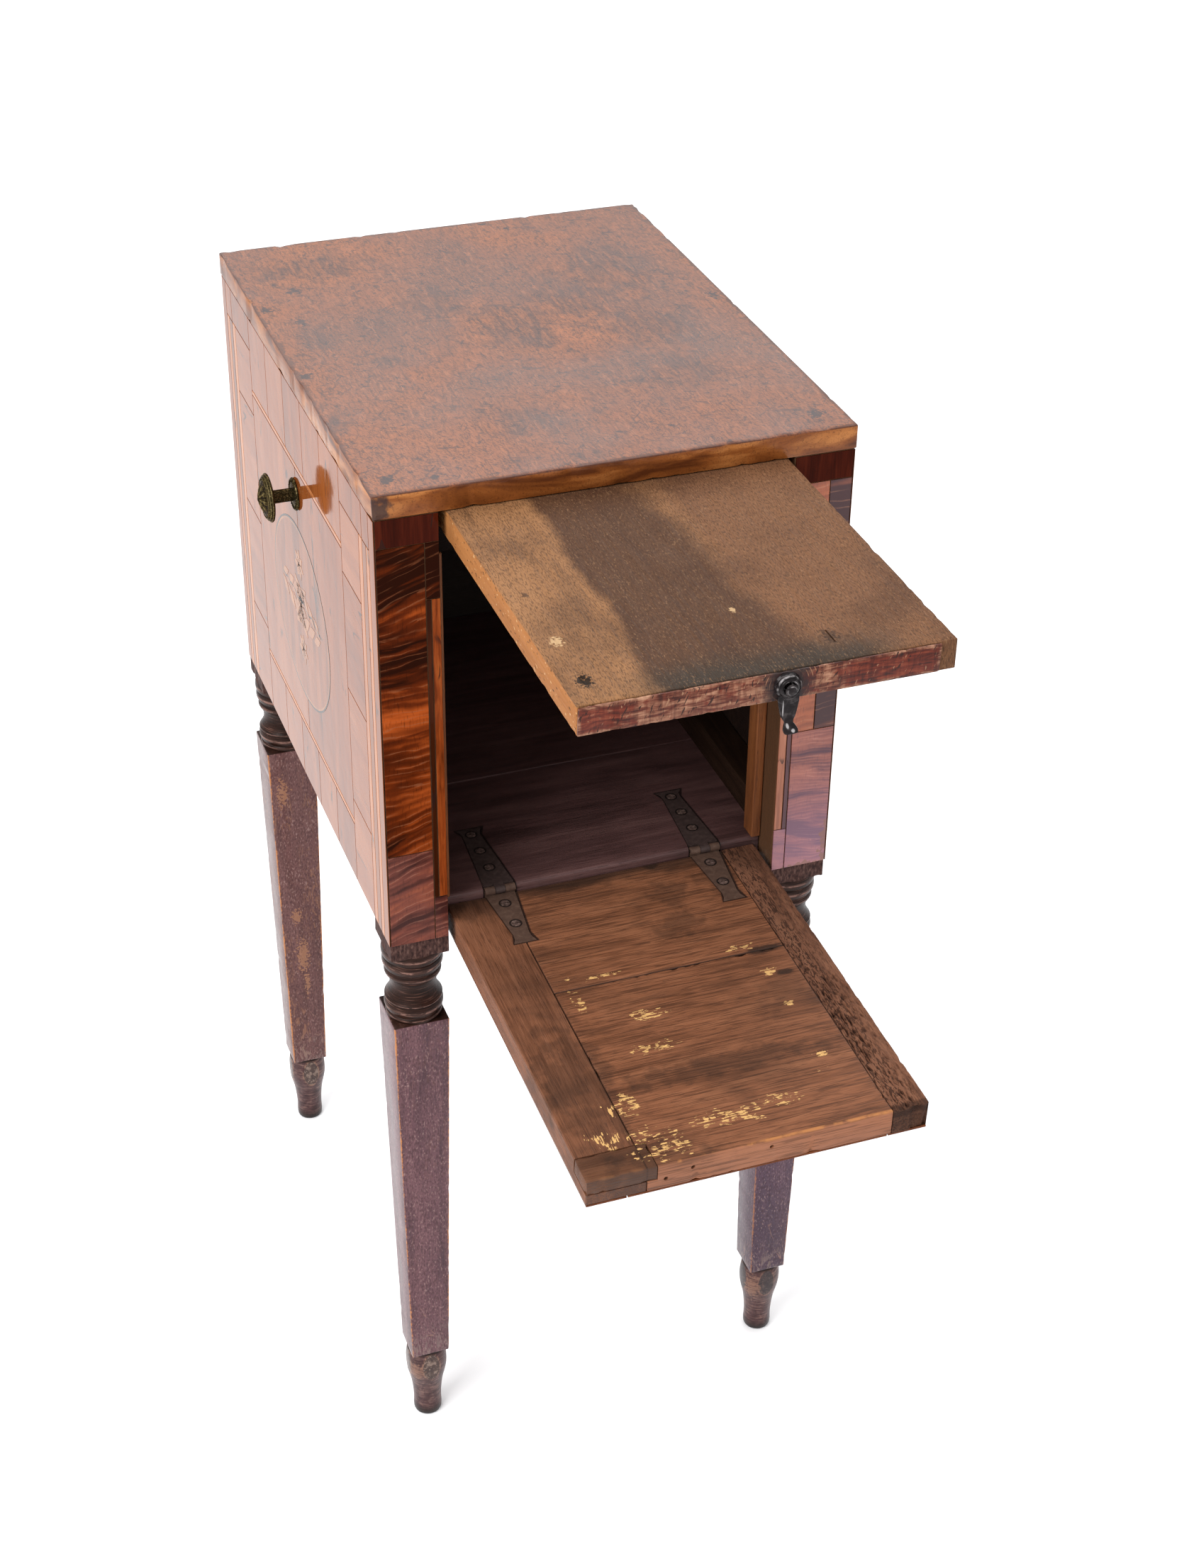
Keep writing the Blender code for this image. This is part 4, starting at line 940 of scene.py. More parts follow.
@dataclass(frozen=True)
class RedStrip(Finish):
    """Dark red veneer on the slide's edge, rubbed through, with dirt and arcs round the turn-button."""

    low: Point = (-0.1098, -0.4320, 0.7457)
    high: Point = (0.0997, -0.4304, 0.7628)
    pivot: Point = (0.0086, -0.432, 0.7548)
    worn: tuple[tuple[float, float], ...] = ((-0.055, 0.032), (-0.012, 0.022), (0.032, 0.010))
    red_dark: Colour = (0.030, 0.005, 0.003)
    red_mid: Colour = (0.108, 0.017, 0.008)
    red_light: Colour = (0.190, 0.044, 0.021)
    bare_dark: Colour = (0.070, 0.022, 0.012)
    bare_mid: Colour = (0.18, 0.076, 0.044)
    bare_light: Colour = (0.37, 0.195, 0.120)
    stroke_dark: Colour = (0.020, 0.006, 0.004)
    stroke_light: Colour = (0.34, 0.19, 0.11)
    soil: Colour = (0.014, 0.010, 0.011)
    arc: Colour = (0.24, 0.11, 0.06)

    def draw(self, sheet: Sheet, shader: bpy.types.Node) -> None:
        """Draw the red veneer, its bare spots and the scratched dirt."""
        here = sheet.here()
        fibre = sheet.noise(here * (420, 420, 45), 1.0, 4.0, 0.4)
        smear = sheet.noise(here * (60, 60, 420), 1.0, 5.0, 1.0)
        fibre = fibre * 0.35 + smear * 0.65
        red = sheet.ramp(fibre, (0.36, self.red_dark), (0.52, self.red_mid),
                         (0.66, self.red_light))
        bare = sheet.ramp(fibre, (0.36, self.bare_dark), (0.52, self.bare_mid),
                          (0.66, self.bare_light))
        distance = sheet.effect("edge", Vector=here, Low=self.low, High=self.high)[0]
        rubbed = sheet.effect("wear", Vector=here, Distance=distance, Reach=0.0042, Grit=150.0)[0]
        for centre, wide in self.worn:
            patch = sheet.spot(here, (centre, -0.432, 0.7535), (wide, 1, 0.012), 2.8, 170.0)
            rubbed = sheet.math("MAXIMUM", rubbed, patch * 0.8)
        colour = sheet.mix(rubbed * smear.ease(0.36, 0.56, 0.15, 1.0), red, bare)
        leaning = sheet.turn(here, angles=(0, 0.35, 0))
        strokes = sheet.noise(leaning * (620, 620, 170), 1.0, 2.0, 0.6)
        colour = sheet.mix(strokes.ease(0.63, 0.67, 0.0, 0.9), colour, self.stroke_dark)
        colour = sheet.mix(strokes.ease(0.34, 0.29, 0.0, 0.6), colour, self.stroke_light)
        away = sheet.length(here - self.pivot)
        soil = sheet.spot(here, self.pivot, (0.017, 1, 0.022), 0.8, 200.0)
        colour = sheet.mix(soil * 0.9, colour, self.soil)
        rings = sheet.math("SINE", away * 2600.0)
        near = away.ease(0.024, 0.016) * away.ease(0.009, 0.012)
        arcs = rings.ease(0.72, 0.95) * near
        arcs = arcs * sheet.noise(here, 150.0, 2.0).ease(0.45, 0.6)
        colour = sheet.mix(arcs, colour, self.arc)
        self.lay(sheet, shader, colour, fibre.ease(0.2, 0.8, 0.35, 0.6), fibre, 0.0003, 0.5, 0.2)


@dataclass(frozen=True)
class DoorWood(Plain):
    """The door's inner boards: brown and dirty, with paint flecks, knots, damp stain patches and a painted
    shadow along the hinge edge.
    """

    cream: Colour = (0.62, 0.365, 0.135)
    # dark colour for dirt, knots and the painted shadow along the hinge edge
    soot_and_shade: Colour = (0.022, 0.011, 0.007)
    inner: float = -0.003
    top: float = 0.278
    ridge: float = 0.7
    rub: float = 0.85
    end: Colour = (0.30, 0.120, 0.064)
    flecked: tuple[Rect, ...] = ((-0.065, 0.223, 0.013, 0.011), (-0.0565, 0.262, 0.020, 0.013),
                                 (-0.067, 0.248, 0.010, 0.007), (-0.019, 0.250, 0.016, 0.010),
                                 (0.004, 0.252, 0.012, 0.008), (0.028, 0.246, 0.014, 0.006),
                                 (-0.022, 0.147, 0.012, 0.006), (0.064, 0.216, 0.012, 0.003),
                                 (0.064, 0.231, 0.008, 0.003), (-0.036, 0.1035, 0.018, 0.0025),
                                 (-0.030, 0.178, 0.018, 0.005), (-0.0605, 0.120, 0.004, 0.020),
                                 (-0.085, 0.246, 0.012, 0.010), (0.066, 0.132, 0.008, 0.004),
                                 (0.0666, 0.165, 0.005, 0.003), (0.058, 0.104, 0.012, 0.004))
    # damp stain patches; the strip at z 0.004 along the hinge edge is painted shadow
    stains: tuple[Rect, ...] = ((0.034, 0.034, 0.016, 0.014), (0.028, 0.069, 0.018, 0.014),
                                (0.073, 0.031, 0.016, 0.018), (-0.030, 0.004, 0.050, 0.010),
                                (-0.095, 0.010, 0.026, 0.014), (-0.085, 0.200, 0.026, 0.060),
                                (-0.060, 0.285, 0.040, 0.024), (0.010, 0.205, 0.080, 0.010))
    seams: tuple[tuple[float, bool, float, float], ...] = ((0.11015, True, 0.0009, 0.85),
                                                           (-0.0719, False, 0.0007, 0.6),
                                                           (0.0861, False, 0.0009, 0.8))
    knots: tuple[Rect, ...] = ((0.073, 0.110, 0.014, 0.0045), (0.076, 0.1355, 0.007, 0.003),
                               (0.034, 0.003, 0.006, 0.004))
    seam_dark: Colour = (0.008, 0.004, 0.003)
    rubbed: Colour = (0.42, 0.17, 0.055)

    def draw(self, sheet: Sheet, shader: bpy.types.Node) -> None:
        """Draw the boards, then damp stain patches, a painted shadow along the hinge edge, knots, flecks
        and the rubbed free edge.
        """
        here, colour, roughness, height = self.base(sheet)
        x, y, z = sheet.parts(here)
        way = sheet.turn(here, angles=self.grain.value)
        ridges = sheet.noise(way * (26, 720, 720), 1.0, 4.0, 0.9)
        colour = sheet.mix(ridges.ease(0.50, 0.62, 0.0, self.ridge), colour, self.dark)
        fine = sheet.noise(way * (60, 1300, 1300), 1.0, 3.0)
        colour = sheet.mix(fine.ease(0.52, 0.66, 0.0, 0.5), colour, self.dark)
        dirt = sheet.noise(here * (11, 11, 17), 1.0, 5.0, 0.8)
        colour = sheet.mix(dirt.ease(0.50, 0.68, 0.0, 0.38), colour, self.soot_and_shade)
        boards = x.ease(-0.0725, -0.0716) * x.ease(0.0870, 0.0861)
        for place, along, wide, share in self.seams:
            off = abs((z if along else x) - place)
            seam = (off + ridges * 0.0006).ease(wide + 0.0004, 0.0005)
            if along:
                seam = seam * boards
            colour = sheet.mix(seam * share, colour, self.seam_dark)
        # painted shadow round the door's hinge leaves
        colour = self.gaps(sheet, colour, x, z)
        face = y.ease(self.inner - 0.0016, self.inner - 0.0006)
        # painted shadow: a ragged dark strip along the hinge edge, under the floor board's nosing
        low = z + (dirt - 0.5) * 0.05
        colour = sheet.mix(low.ease(0.014, 0.003, 0.0, 0.75), colour, self.soot_and_shade)
        # damp stain patches, one of them painted shadow along the hinge edge
        for spot_x, spot_z, wide, tall in self.stains:
            stain = sheet.spot(here, (spot_x, self.inner, spot_z), (wide, 1, tall), 2.4, 95.0)
            colour = sheet.mix(stain * 0.42, colour, self.soot_and_shade)
        for spot_x, spot_z, wide, tall in self.knots:
            knot = sheet.spot(here, (spot_x, self.inner, spot_z), (wide, 1, tall), 0.9, 160.0)
            colour = sheet.mix(knot * 0.85, colour, self.soot_and_shade)
        reach = 0.0
        for spot_x, spot_z, wide, tall in self.flecked:
            patch = sheet.spot(here, (spot_x, self.inner, spot_z), (wide, 1, tall), 2.4, 150.0)
            reach = sheet.math("MAXIMUM", reach, patch)
        loose = sheet.noise(here, 240.0, 3.0).ease(0.36, 0.62)
        share = (reach * loose).ease(0.05, 0.9, 0.34, 0.52)
        flecks = sheet.effect("flecks", Vector=way, Size=0.0009, Share=share)[0]
        paint = reach.ease(0.06, 0.16) * flecks * face
        colour = sheet.mix(paint, colour, self.cream)
        edge = z.ease(self.top - 0.0014, self.top - 0.0006)
        colour = sheet.mix(edge * ridges.ease(0.35, 0.65, 0.75, 0.25), colour, self.end)
        rim = abs(z - (self.top - 0.0012))
        corner = rim.ease(0.0016, 0.0004) * face
        rubbed = corner * sheet.noise(here, 60.0, 4.0).ease(0.42, 0.55)
        colour = sheet.mix(rubbed * self.rub, colour, self.rubbed)
        relief = height - ridges + paint * 0.6
        self.lay(sheet, shader, colour, roughness, relief, self.relief, 0.6, self.shine)


@dataclass(frozen=True)
class Eaten(Plain):
    """Worm-eaten wood with dark pits along the grain."""

    def draw(self, sheet: Sheet, shader: bpy.types.Node) -> None:
        """Lay the bare wood and darken its pits."""
        here, colour, roughness, height = self.base(sheet)
        x, y, z = sheet.parts(here)
        colour = sheet.mix(z.ease(0.2715, 0.2745, 0.0, 0.7), colour, self.dark)
        deep = y.ease(-0.0034, -0.0050) * y.ease(-0.0100, -0.0075)
        colour = sheet.mix(deep * 0.85, colour, self.dark)
        way = sheet.turn(here, angles=self.grain.value)
        holes = sheet.noise(way * (190, 850, 850), 1.0, 3.0, 0.8)
        pits = holes.ease(0.53, 0.58) * x.ease(0.107, 0.096, 0.25, 1.0)
        colour = sheet.mix(pits * 0.8, colour, self.dark)
        relief = height - pits * 2.0
        self.lay(sheet, shader, colour, roughness, relief, self.relief * 2, 0.8, self.shine)


@dataclass(frozen=True)
class OldMetal(Finish):
    """Old iron or brass with a mottled skin and rubbed spots; where given, painted highlight arcs and
    glints, and gold on high relief as rubbed wear and painted highlight.
    """

    dark: Colour = (0.005, 0.0035, 0.0038)
    mid: Colour = (0.011, 0.0080, 0.0085)
    rubbed: Colour = (0.050, 0.042, 0.042)
    metal: float = 0.0
    rough: float = 0.14
    grit: float = 240.0
    relief: float = 0.00008
    shine: float = 0.2
    hub: Point = (0.0, 0.0, 0.0)
    # radii of painted highlight arcs round the hub, brightest on the upper side
    rings: tuple[float, ...] = ()
    glints: tuple[Rect, ...] = ()
    screws: tuple[tuple[float, float], ...] = ()
    # share of gold on high relief and ring crests: rubbed wear and painted highlight
    raised_wear_and_highlight: float = 0.0
    tint: Colour = (1.0, 1.0, 1.0)
    # colours of the painted highlight arcs and glints
    ring: Colour = (0.26, 0.24, 0.24)
    glint: Colour = (0.36, 0.34, 0.34)
    hole: Colour = (0.005, 0.003, 0.0025)

    def draw(self, sheet: Sheet, shader: bpy.types.Node) -> None:
        """Draw the mottled skin and, where given, its painted highlights."""
        here = sheet.here()
        skin = sheet.noise(here, self.grit, 5.0, 0.4)
        colour = sheet.ramp(skin, (0.32, self.dark), (0.52, self.mid), (0.74, self.rubbed))
        away = sheet.length((here - self.hub) * (1, 0, 1))
        # painted highlights: bright arcs on the rings, mostly on their upper side
        upper = sheet.parts(here)[2].ease(self.hub[2] - 0.004, self.hub[2] + 0.005, 0.1, 1.0)
        for radius in self.rings:
            off = abs(away - radius)
            painted_ring_highlight = off.ease(0.0005, 0.0001) * skin.ease(0.42, 0.60, 0.0, 0.9)
            colour = sheet.mix(painted_ring_highlight * upper, colour, self.ring)
        # painted highlights: small glints on the arm
        for spot_x, spot_z, wide, tall in self.glints:
            glint = sheet.spot(here, (spot_x, self.hub[1], spot_z), (wide, 1, tall), 0.6, 700.0)
            colour = sheet.mix(glint * 0.8, colour, self.glint)
        for spot_x, spot_y in self.screws:
            away = (here - (spot_x, spot_y, 0.0)) * (1, 1, 0)
            off = abs(sheet.length(away) - 0.0037)
            colour = sheet.mix(off.ease(0.0009, 0.0004, 0.0, 0.9), colour, self.hole)
        if self.raised_wear_and_highlight:
            # rubbed wear and painted highlight: gold on the high relief and the ring crests; the hollows
            # darken as patina
            rise = sheet.tag("rise")
            colour = sheet.mix(rise.ease(0.15, 1.1, 0.0, self.raised_wear_and_highlight), colour, self.rubbed)
            colour = sheet.mix(rise.ease(-0.1, -0.9, 0.0, 0.8), colour, self.dark)
        rough = skin.ease(0.3, 0.7, self.rough + 0.10, self.rough - 0.08)
        self.lay(sheet, shader, colour, rough, skin, self.relief, 0.4, self.shine)
        shader.inputs["Specular Tint"].default_value = (*self.tint, 1.0)
        shader.inputs["Metallic"].default_value = self.metal


# black iron with painted highlight arcs on its ringed head and glints on its arm
BLACK_IRON = OldMetal("black iron", hub=(0.0086, -0.4338, 0.7548), rings=(0.0026, 0.0045, 0.0070, 0.0098),
                      glints=((0.0072, 0.7328, 0.0009, 0.0013), (0.0098, 0.7306, 0.0012, 0.0009),
                              (0.0052, 0.7425, 0.0004, 0.0050)), shine=0.13)


class Bench:
    """Hand tools: modelling steps that work on one piece at a time."""

    @staticmethod
    def take(*pieces: bpy.types.Object) -> None:
        """Select only these pieces, with the first one active."""
        bpy.ops.object.select_all(action="DESELECT")
        for piece in pieces:
            piece.select_set(True)
        bpy.context.view_layer.objects.active = pieces[0]

    @staticmethod
    def block(name: str, low: Sequence[float], high: Sequence[float]) -> bpy.types.Object:
        """Add a block between two corners, to be shaped further.

        Args:
            name: the piece's name.
            low: lowest corner.
            high: highest corner.

        Returns:
            The piece.
        """
        bpy.ops.object.select_all(action="DESELECT")
        size = Vector(high) - Vector(low)
        bpy.ops.mesh.primitive_cube_add(size=1.0, location=(Vector(low) + Vector(high)) / 2, scale=size)
        piece = bpy.context.object
        piece.name = name
        bpy.ops.object.transform_apply(location=True, rotation=True, scale=True)
        return piece

    @staticmethod
    def slabs(name: str, low: float, high: float, rects: Sequence[Rect], axes: tuple[int, int, int],
              tones: Sequence[float] = (), edge: float = 0.00015) -> bpy.types.Object:
        """Lay flat slabs side by side as one piece, each with its own tag.

        Args:
            name: the piece's name.
            low: the slabs' lower face.
            high: the slabs' upper face.
            rects: each slab's two lower and two upper limits on the face.
            axes: the face's two axes and the axis across it.
            tones: each slab's tone from 0 to 1, spread evenly when none are given.
            edge: width of the small bevel on each slab.

        Returns:
            The piece, with the face tags slab and turned.
        """
        bpy.ops.object.select_all(action="DESELECT")
        for number, (a, b, c, d) in enumerate(rects):
            middle = [0.0, 0.0, 0.0]
            size = [0.0, 0.0, 0.0]
            for axis, start, end in zip(axes, (a, b, low), (c, d, high)):
                middle[axis] = (start + end) / 2
                size[axis] = abs(end - start) - (JOINT if axis != axes[2] else 0.0)
            bpy.ops.mesh.primitive_cube_add(size=1.0, location=middle, scale=size)
            if number == 0:
                piece = bpy.context.object
                piece.name = name
                bpy.ops.object.transform_apply(location=True, rotation=True, scale=True)
                bpy.ops.object.mode_set(mode="EDIT")
        bpy.ops.object.mode_set(mode="OBJECT")
        Bench.change(piece, "BEVEL", width=edge, segments=1, limit_method="ANGLE")
        tags = piece.data.attributes.new("slab", "FLOAT", "FACE")
        for face in piece.data.polygons:
            u, v = face.center[axes[0]], face.center[axes[1]]
            for number, (a, b, c, d) in enumerate(rects):
                if min(a, c) <= u <= max(a, c) and min(b, d) <= v <= max(b, d):
                    tags.data[face.index].value = tones[number] if tones else (number * 0.618034
                                                                               + 0.31) % 1.0
        return piece

    @staticmethod
    def turn_tags(piece: bpy.types.Object, test: Callable[[Vector], bool]) -> None:
        """Mark the slabs whose grain runs across.

        Args:
            piece: the slabs.
            test: says from a face's centre whether its slab is turned.
        """
        tags = piece.data.attributes.new("turned", "FLOAT", "FACE")
        for face in piece.data.polygons:
            tags.data[face.index].value = float(test(face.center))

    @staticmethod
    def change(piece: bpy.types.Object, kind: str, **settings: Any) -> bpy.types.Object:
        """Apply one modifier with these settings.

        Args:
            piece: the piece to change.
            kind: the modifier's type.
            settings: its values.

        Returns:
            The piece.
        """
        Bench.take(piece)
        step = piece.modifiers.new(kind.lower(), kind)
        for name, value in settings.items():
            setattr(step, name, value)
        bpy.ops.object.modifier_apply(modifier=step.name)
        return piece

    @staticmethod
    def carve(piece: bpy.types.Object, tool: bpy.types.Object, operation: str = "DIFFERENCE") -> None:
        """Cut or join a piece with a tool, which is used up."""
        Bench.change(piece, "BOOLEAN", operation=operation, object=tool, solver="EXACT")
        bpy.data.objects.remove(tool, do_unlink=True)

    @staticmethod
    def turned(name: str, profile: Sequence[tuple[float, float]], steps: int = 48) -> bpy.types.Object:
        """Turn a profile about Z, as on a lathe.

        Args:
            name: the piece's name.
            profile: radius and height of each point, from one end on the axis to the other.
            steps: how many facets go round.

        Returns:
            The piece, standing on the origin's axis.
        """
        bpy.ops.object.select_all(action="DESELECT")
        bpy.ops.mesh.primitive_plane_add(size=0.01)
        piece = bpy.context.object
        piece.name = name
        bpy.ops.object.mode_set(mode="EDIT")
        bpy.ops.mesh.select_all(action="SELECT")
        bpy.ops.mesh.merge(type="CENTER")
        radius, height = profile[0]
        bpy.ops.transform.translate(value=(radius, 0, height))
        for next_radius, next_height in profile[1:]:
            step = (next_radius - radius, 0, next_height - height)
            bpy.ops.mesh.extrude_vertices_move(TRANSFORM_OT_translate={"value": step})
            radius, height = next_radius, next_height
        bpy.ops.mesh.select_all(action="SELECT")
        bpy.ops.mesh.spin(steps=steps, angle=2 * math.pi, center=(0, 0, 0), axis=(0, 0, 1))
        bpy.ops.mesh.select_all(action="SELECT")
        bpy.ops.mesh.remove_doubles(threshold=0.000002)
        bpy.ops.mesh.normals_make_consistent(inside=False)
        bpy.ops.object.mode_set(mode="OBJECT")
        return piece

    @staticmethod
    def choose(piece: bpy.types.Object, test: Callable[[Vector, Vector], bool]) -> None:
        """Select, in edit mode, the faces whose centre and normal pass a test."""
        shape = bmesh.from_edit_mesh(piece.data)
        for face in shape.faces:
            face.select_set(bool(test(face.calc_center_median(), face.normal)))
        shape.select_flush_mode()
        bmesh.update_edit_mesh(piece.data)

    @staticmethod
    def place(piece: bpy.types.Object, matrix: Matrix) -> bpy.types.Object:
        """Move a piece and put the place into its mesh."""
        piece.matrix_world = matrix
        Bench.take(piece)
        bpy.ops.object.transform_apply(location=True, rotation=True, scale=True)
        return piece

    @staticmethod
    def copy(piece: bpy.types.Object, name: str) -> bpy.types.Object:
        """Copy a piece with a mesh of its own."""
        Bench.take(piece)
        bpy.ops.object.duplicate(linked=False)
        twin = bpy.context.object
        twin.name = name
        return twin

    @staticmethod
    def unite(name: str, pieces: Sequence[bpy.types.Object]) -> bpy.types.Object:
        """Join several meshes into one piece."""
        Bench.take(*pieces)
        bpy.ops.object.join()
        bpy.context.object.name = name
        return bpy.context.object

    @staticmethod
    def smooth(piece: bpy.types.Object, angle: float = 35.0) -> bpy.types.Object:
        """Shade a piece smooth and keep its sharp edges."""
        Bench.take(piece)
        bpy.ops.object.shade_smooth_by_angle(angle=math.radians(angle))
        return piece

    @staticmethod
    def worn(piece: bpy.types.Object, cells: int, edge: float, bite: float, seed: float,
             long_axes: Sequence[int] = (0, 1)) -> bpy.types.Object:
        """Give a block small rounded edges that years of use have bitten.

        Args:
            piece: a plain block.
            cells: how many cuts go along each long edge.
            edge: width of the rounding.
            bite: depth of the deepest bites.
            seed: shifts the pattern of the bites.
            long_axes: the axes that are cut.

        Returns:
            The piece.
        """
        Bench.take(piece)
        bpy.ops.object.mode_set(mode="EDIT")
        shape = bmesh.from_edit_mesh(piece.data)
        for line in shape.edges:
            way = line.verts[1].co - line.verts[0].co
            line.select_set(max(range(3), key=lambda axis: abs(way[axis])) in long_axes)
        bmesh.update_edit_mesh(piece.data)
        bpy.ops.mesh.subdivide(number_cuts=cells)
        bpy.ops.object.mode_set(mode="OBJECT")
        Bench.change(piece, "BEVEL", width=edge, segments=2, limit_method="ANGLE",
                     angle_limit=math.radians(40))
        rounded = set()
        for face in piece.data.polygons:
            if max(abs(part) for part in face.normal) < 0.95:
                rounded.update(face.vertices)
        inward = {number: -piece.data.vertices[number].normal for number in rounded}
        for number, way in inward.items():
            vertex = piece.data.vertices[number]
            spot = vertex.co * 120.0 + Vector((seed, seed, seed))
            depth = max(0.0, noise.noise(spot) + 0.5 * noise.noise(spot * 2.7) - 0.22)
            vertex.co += way * (bite * 1.5 * depth)
        return Bench.smooth(piece)


class Dresser:
    """Gives pieces their materials and bodies, and reports them."""

    def __init__(self, frame: dict[str, Any], centre: Vector) -> None:
        """Take the loaded frame and the middle of the case on the floor."""
        self.frame = frame
        self.centre = centre
        self.made: dict[Finish, bpy.types.Material] = {}

    def box(self, name: str) -> tuple[Vector, Vector]:
        """Give a solid's lowest and highest corner, measured from the middle of the case."""
        low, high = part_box(name)
        return low - self.centre, high - self.centre

    def material(self, finish: Finish) -> bpy.types.Material:
        """Give a finish's material, made once."""
        if finish not in self.made:
            self.made[finish] = finish.build()
        return self.made[finish]

    def node(self, finish: Finish, *names: str) -> None:
        """Dress solids of the frame that keep their own shape."""
        for name in names:
            mesh = self.frame["nodes"][name].data
            mesh.materials.clear()
            mesh.materials.append(self.material(finish))
            LOG.info("dressed %s with %s", name, finish.name)

    def piece(self, piece: bpy.types.Object, body: Body, slot: str, finishes: Sequence[Finish],
              replaces: Sequence[str] = ()) -> bpy.types.Object:
        """Finish a new piece.

        Args:
            piece: the piece, measured from the middle of the case.
            body: the body it rides on.
            slot: the record's material slot; not used.
            finishes: its finishes, by material number.
            replaces: solids that it stands for.

        Returns:
            The piece.
        """
        Bench.place(piece, Matrix.Translation(self.centre))
        numbers = [face.material_index for face in piece.data.polygons]
        piece.data.materials.clear()
        for finish in finishes:
            piece.data.materials.append(self.material(finish))
        piece.data.polygons.foreach_set("material_index", numbers)
        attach(piece, body.value)
        if replaces:
            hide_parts(*replaces)
        LOG.info("made %s on %s", piece.name, body.value)
        return piece


@dataclass
class Studio:
    """White floor, soft light and the camera at the photo's angle."""

    eye: Point = (-0.48678, -1.48632, 1.45474)
    azimuth: float = 20.146
    elevation: float = 33.396
    roll: float = 0.785
    lens: float = 58.33
    sensor: float = 36.0
    sky: float = 1.15
    key: float = 62.0
    floor_size: float = 30.0

    def build(self, centre: Vector) -> None:
        """Set the stage around the case's middle."""
        self.set_floor()
        self.set_lights(centre)
        self.set_camera(centre)

    def set_floor(self) -> None:
        """Lay the pale floor."""
        bpy.ops.object.select_all(action="DESELECT")
        bpy.ops.mesh.primitive_plane_add(size=self.floor_size)
        floor = bpy.context.object
        floor.name = "studio_floor"
        material = bpy.data.materials.new("pale floor")
        material.use_nodes = True
        shader = material.node_tree.nodes["Principled BSDF"]
        shader.inputs["Base Color"].default_value = (0.93, 0.93, 0.94, 1.0)
        shader.inputs["Roughness"].default_value = 0.9
        shader.inputs["Specular IOR Level"].default_value = 0.1
        floor.data.materials.append(material)

    def set_lights(self, centre: Vector) -> None:
        """Set an even sky and a wide soft light from the front left."""
        scene = bpy.context.scene
        scene.view_settings.view_transform = "Standard"
        world = bpy.data.worlds.new("studio")
        world.use_nodes = True
        world.node_tree.nodes["Background"].inputs["Color"].default_value = (1.0, 1.0, 1.0, 1.0)
        world.node_tree.nodes["Background"].inputs["Strength"].default_value = self.sky
        scene.world = world
        for name, offset, size, power in (("key", Vector((-1.7, -1.0, 2.3)), 1.6, self.key),
                                          ("back", Vector((0.4, 1.8, 2.6)), 2.2, self.key * 0.5)):
            light = bpy.data.lights.new(name, "AREA")
            light.energy = power
            light.size = size
            lamp = bpy.data.objects.new(name, light)
            scene.collection.objects.link(lamp)
            lamp.location = Vector((centre.x, centre.y, 0.0)) + offset
            aim = Vector((centre.x, centre.y, 0.4)) - lamp.location
            lamp.rotation_euler = aim.to_track_quat("-Z", "Y").to_euler()

    def set_camera(self, centre: Vector) -> None:
        """Put the camera where the photo was taken."""
        data = bpy.data.cameras.new("camera")
        data.lens = self.lens
        data.sensor_width = self.sensor
        camera = bpy.data.objects.new("camera", data)
        bpy.context.scene.collection.objects.link(camera)
        level = Matrix.Rotation(math.radians(-self.azimuth), 4, "Z")
        dip = Matrix.Rotation(math.radians(90.0 - self.elevation), 4, "X")
        tilt = Matrix.Rotation(math.radians(self.roll), 4, "Z")
        eye = Vector((centre.x, centre.y, 0.0)) + Vector(self.eye)
        camera.matrix_world = Matrix.Translation(eye) @ level @ dip @ tilt
        bpy.context.scene.camera = camera


def bow(start: tuple[float, float], end: tuple[float, float], swell: float,
        count: int = 7) -> list[tuple[float, float]]:
    """Give the points of a bowed line.

    Args:
        start: radius and height at the start.
        end: radius and height at the end.
        swell: how far its middle stands out.
        count: how many pieces it has.

    Returns:
        Radius and height of each point.
    """
    points = []
    for step in range(count + 1):
        share = step / count
        radius = start[0] + (end[0] - start[0]) * share + swell * math.sin(math.pi * share)
        points.append((radius, start[1] + (end[1] - start[1]) * share))
    return points


class Side(Enum):
    """Left or right, as the sign on X."""

    LEFT = -1
    RIGHT = 1


@dataclass
class TopBoard:
    """The veneered top with small bitten edges."""

    cells: int = 84
    edge: float = 0.0010
    bite: float = 0.0013

    def build(self, shop: Dresser) -> None:
        """Model the board and dress it."""
        board = Bench.block("top_worn_board", *shop.box("top_board"))
        Bench.worn(board, self.cells, self.edge, self.bite, 3.0)
        shop.piece(board, Body.CASE, "top_wood", [TopVeneer("top veneer")], ["top_board"])


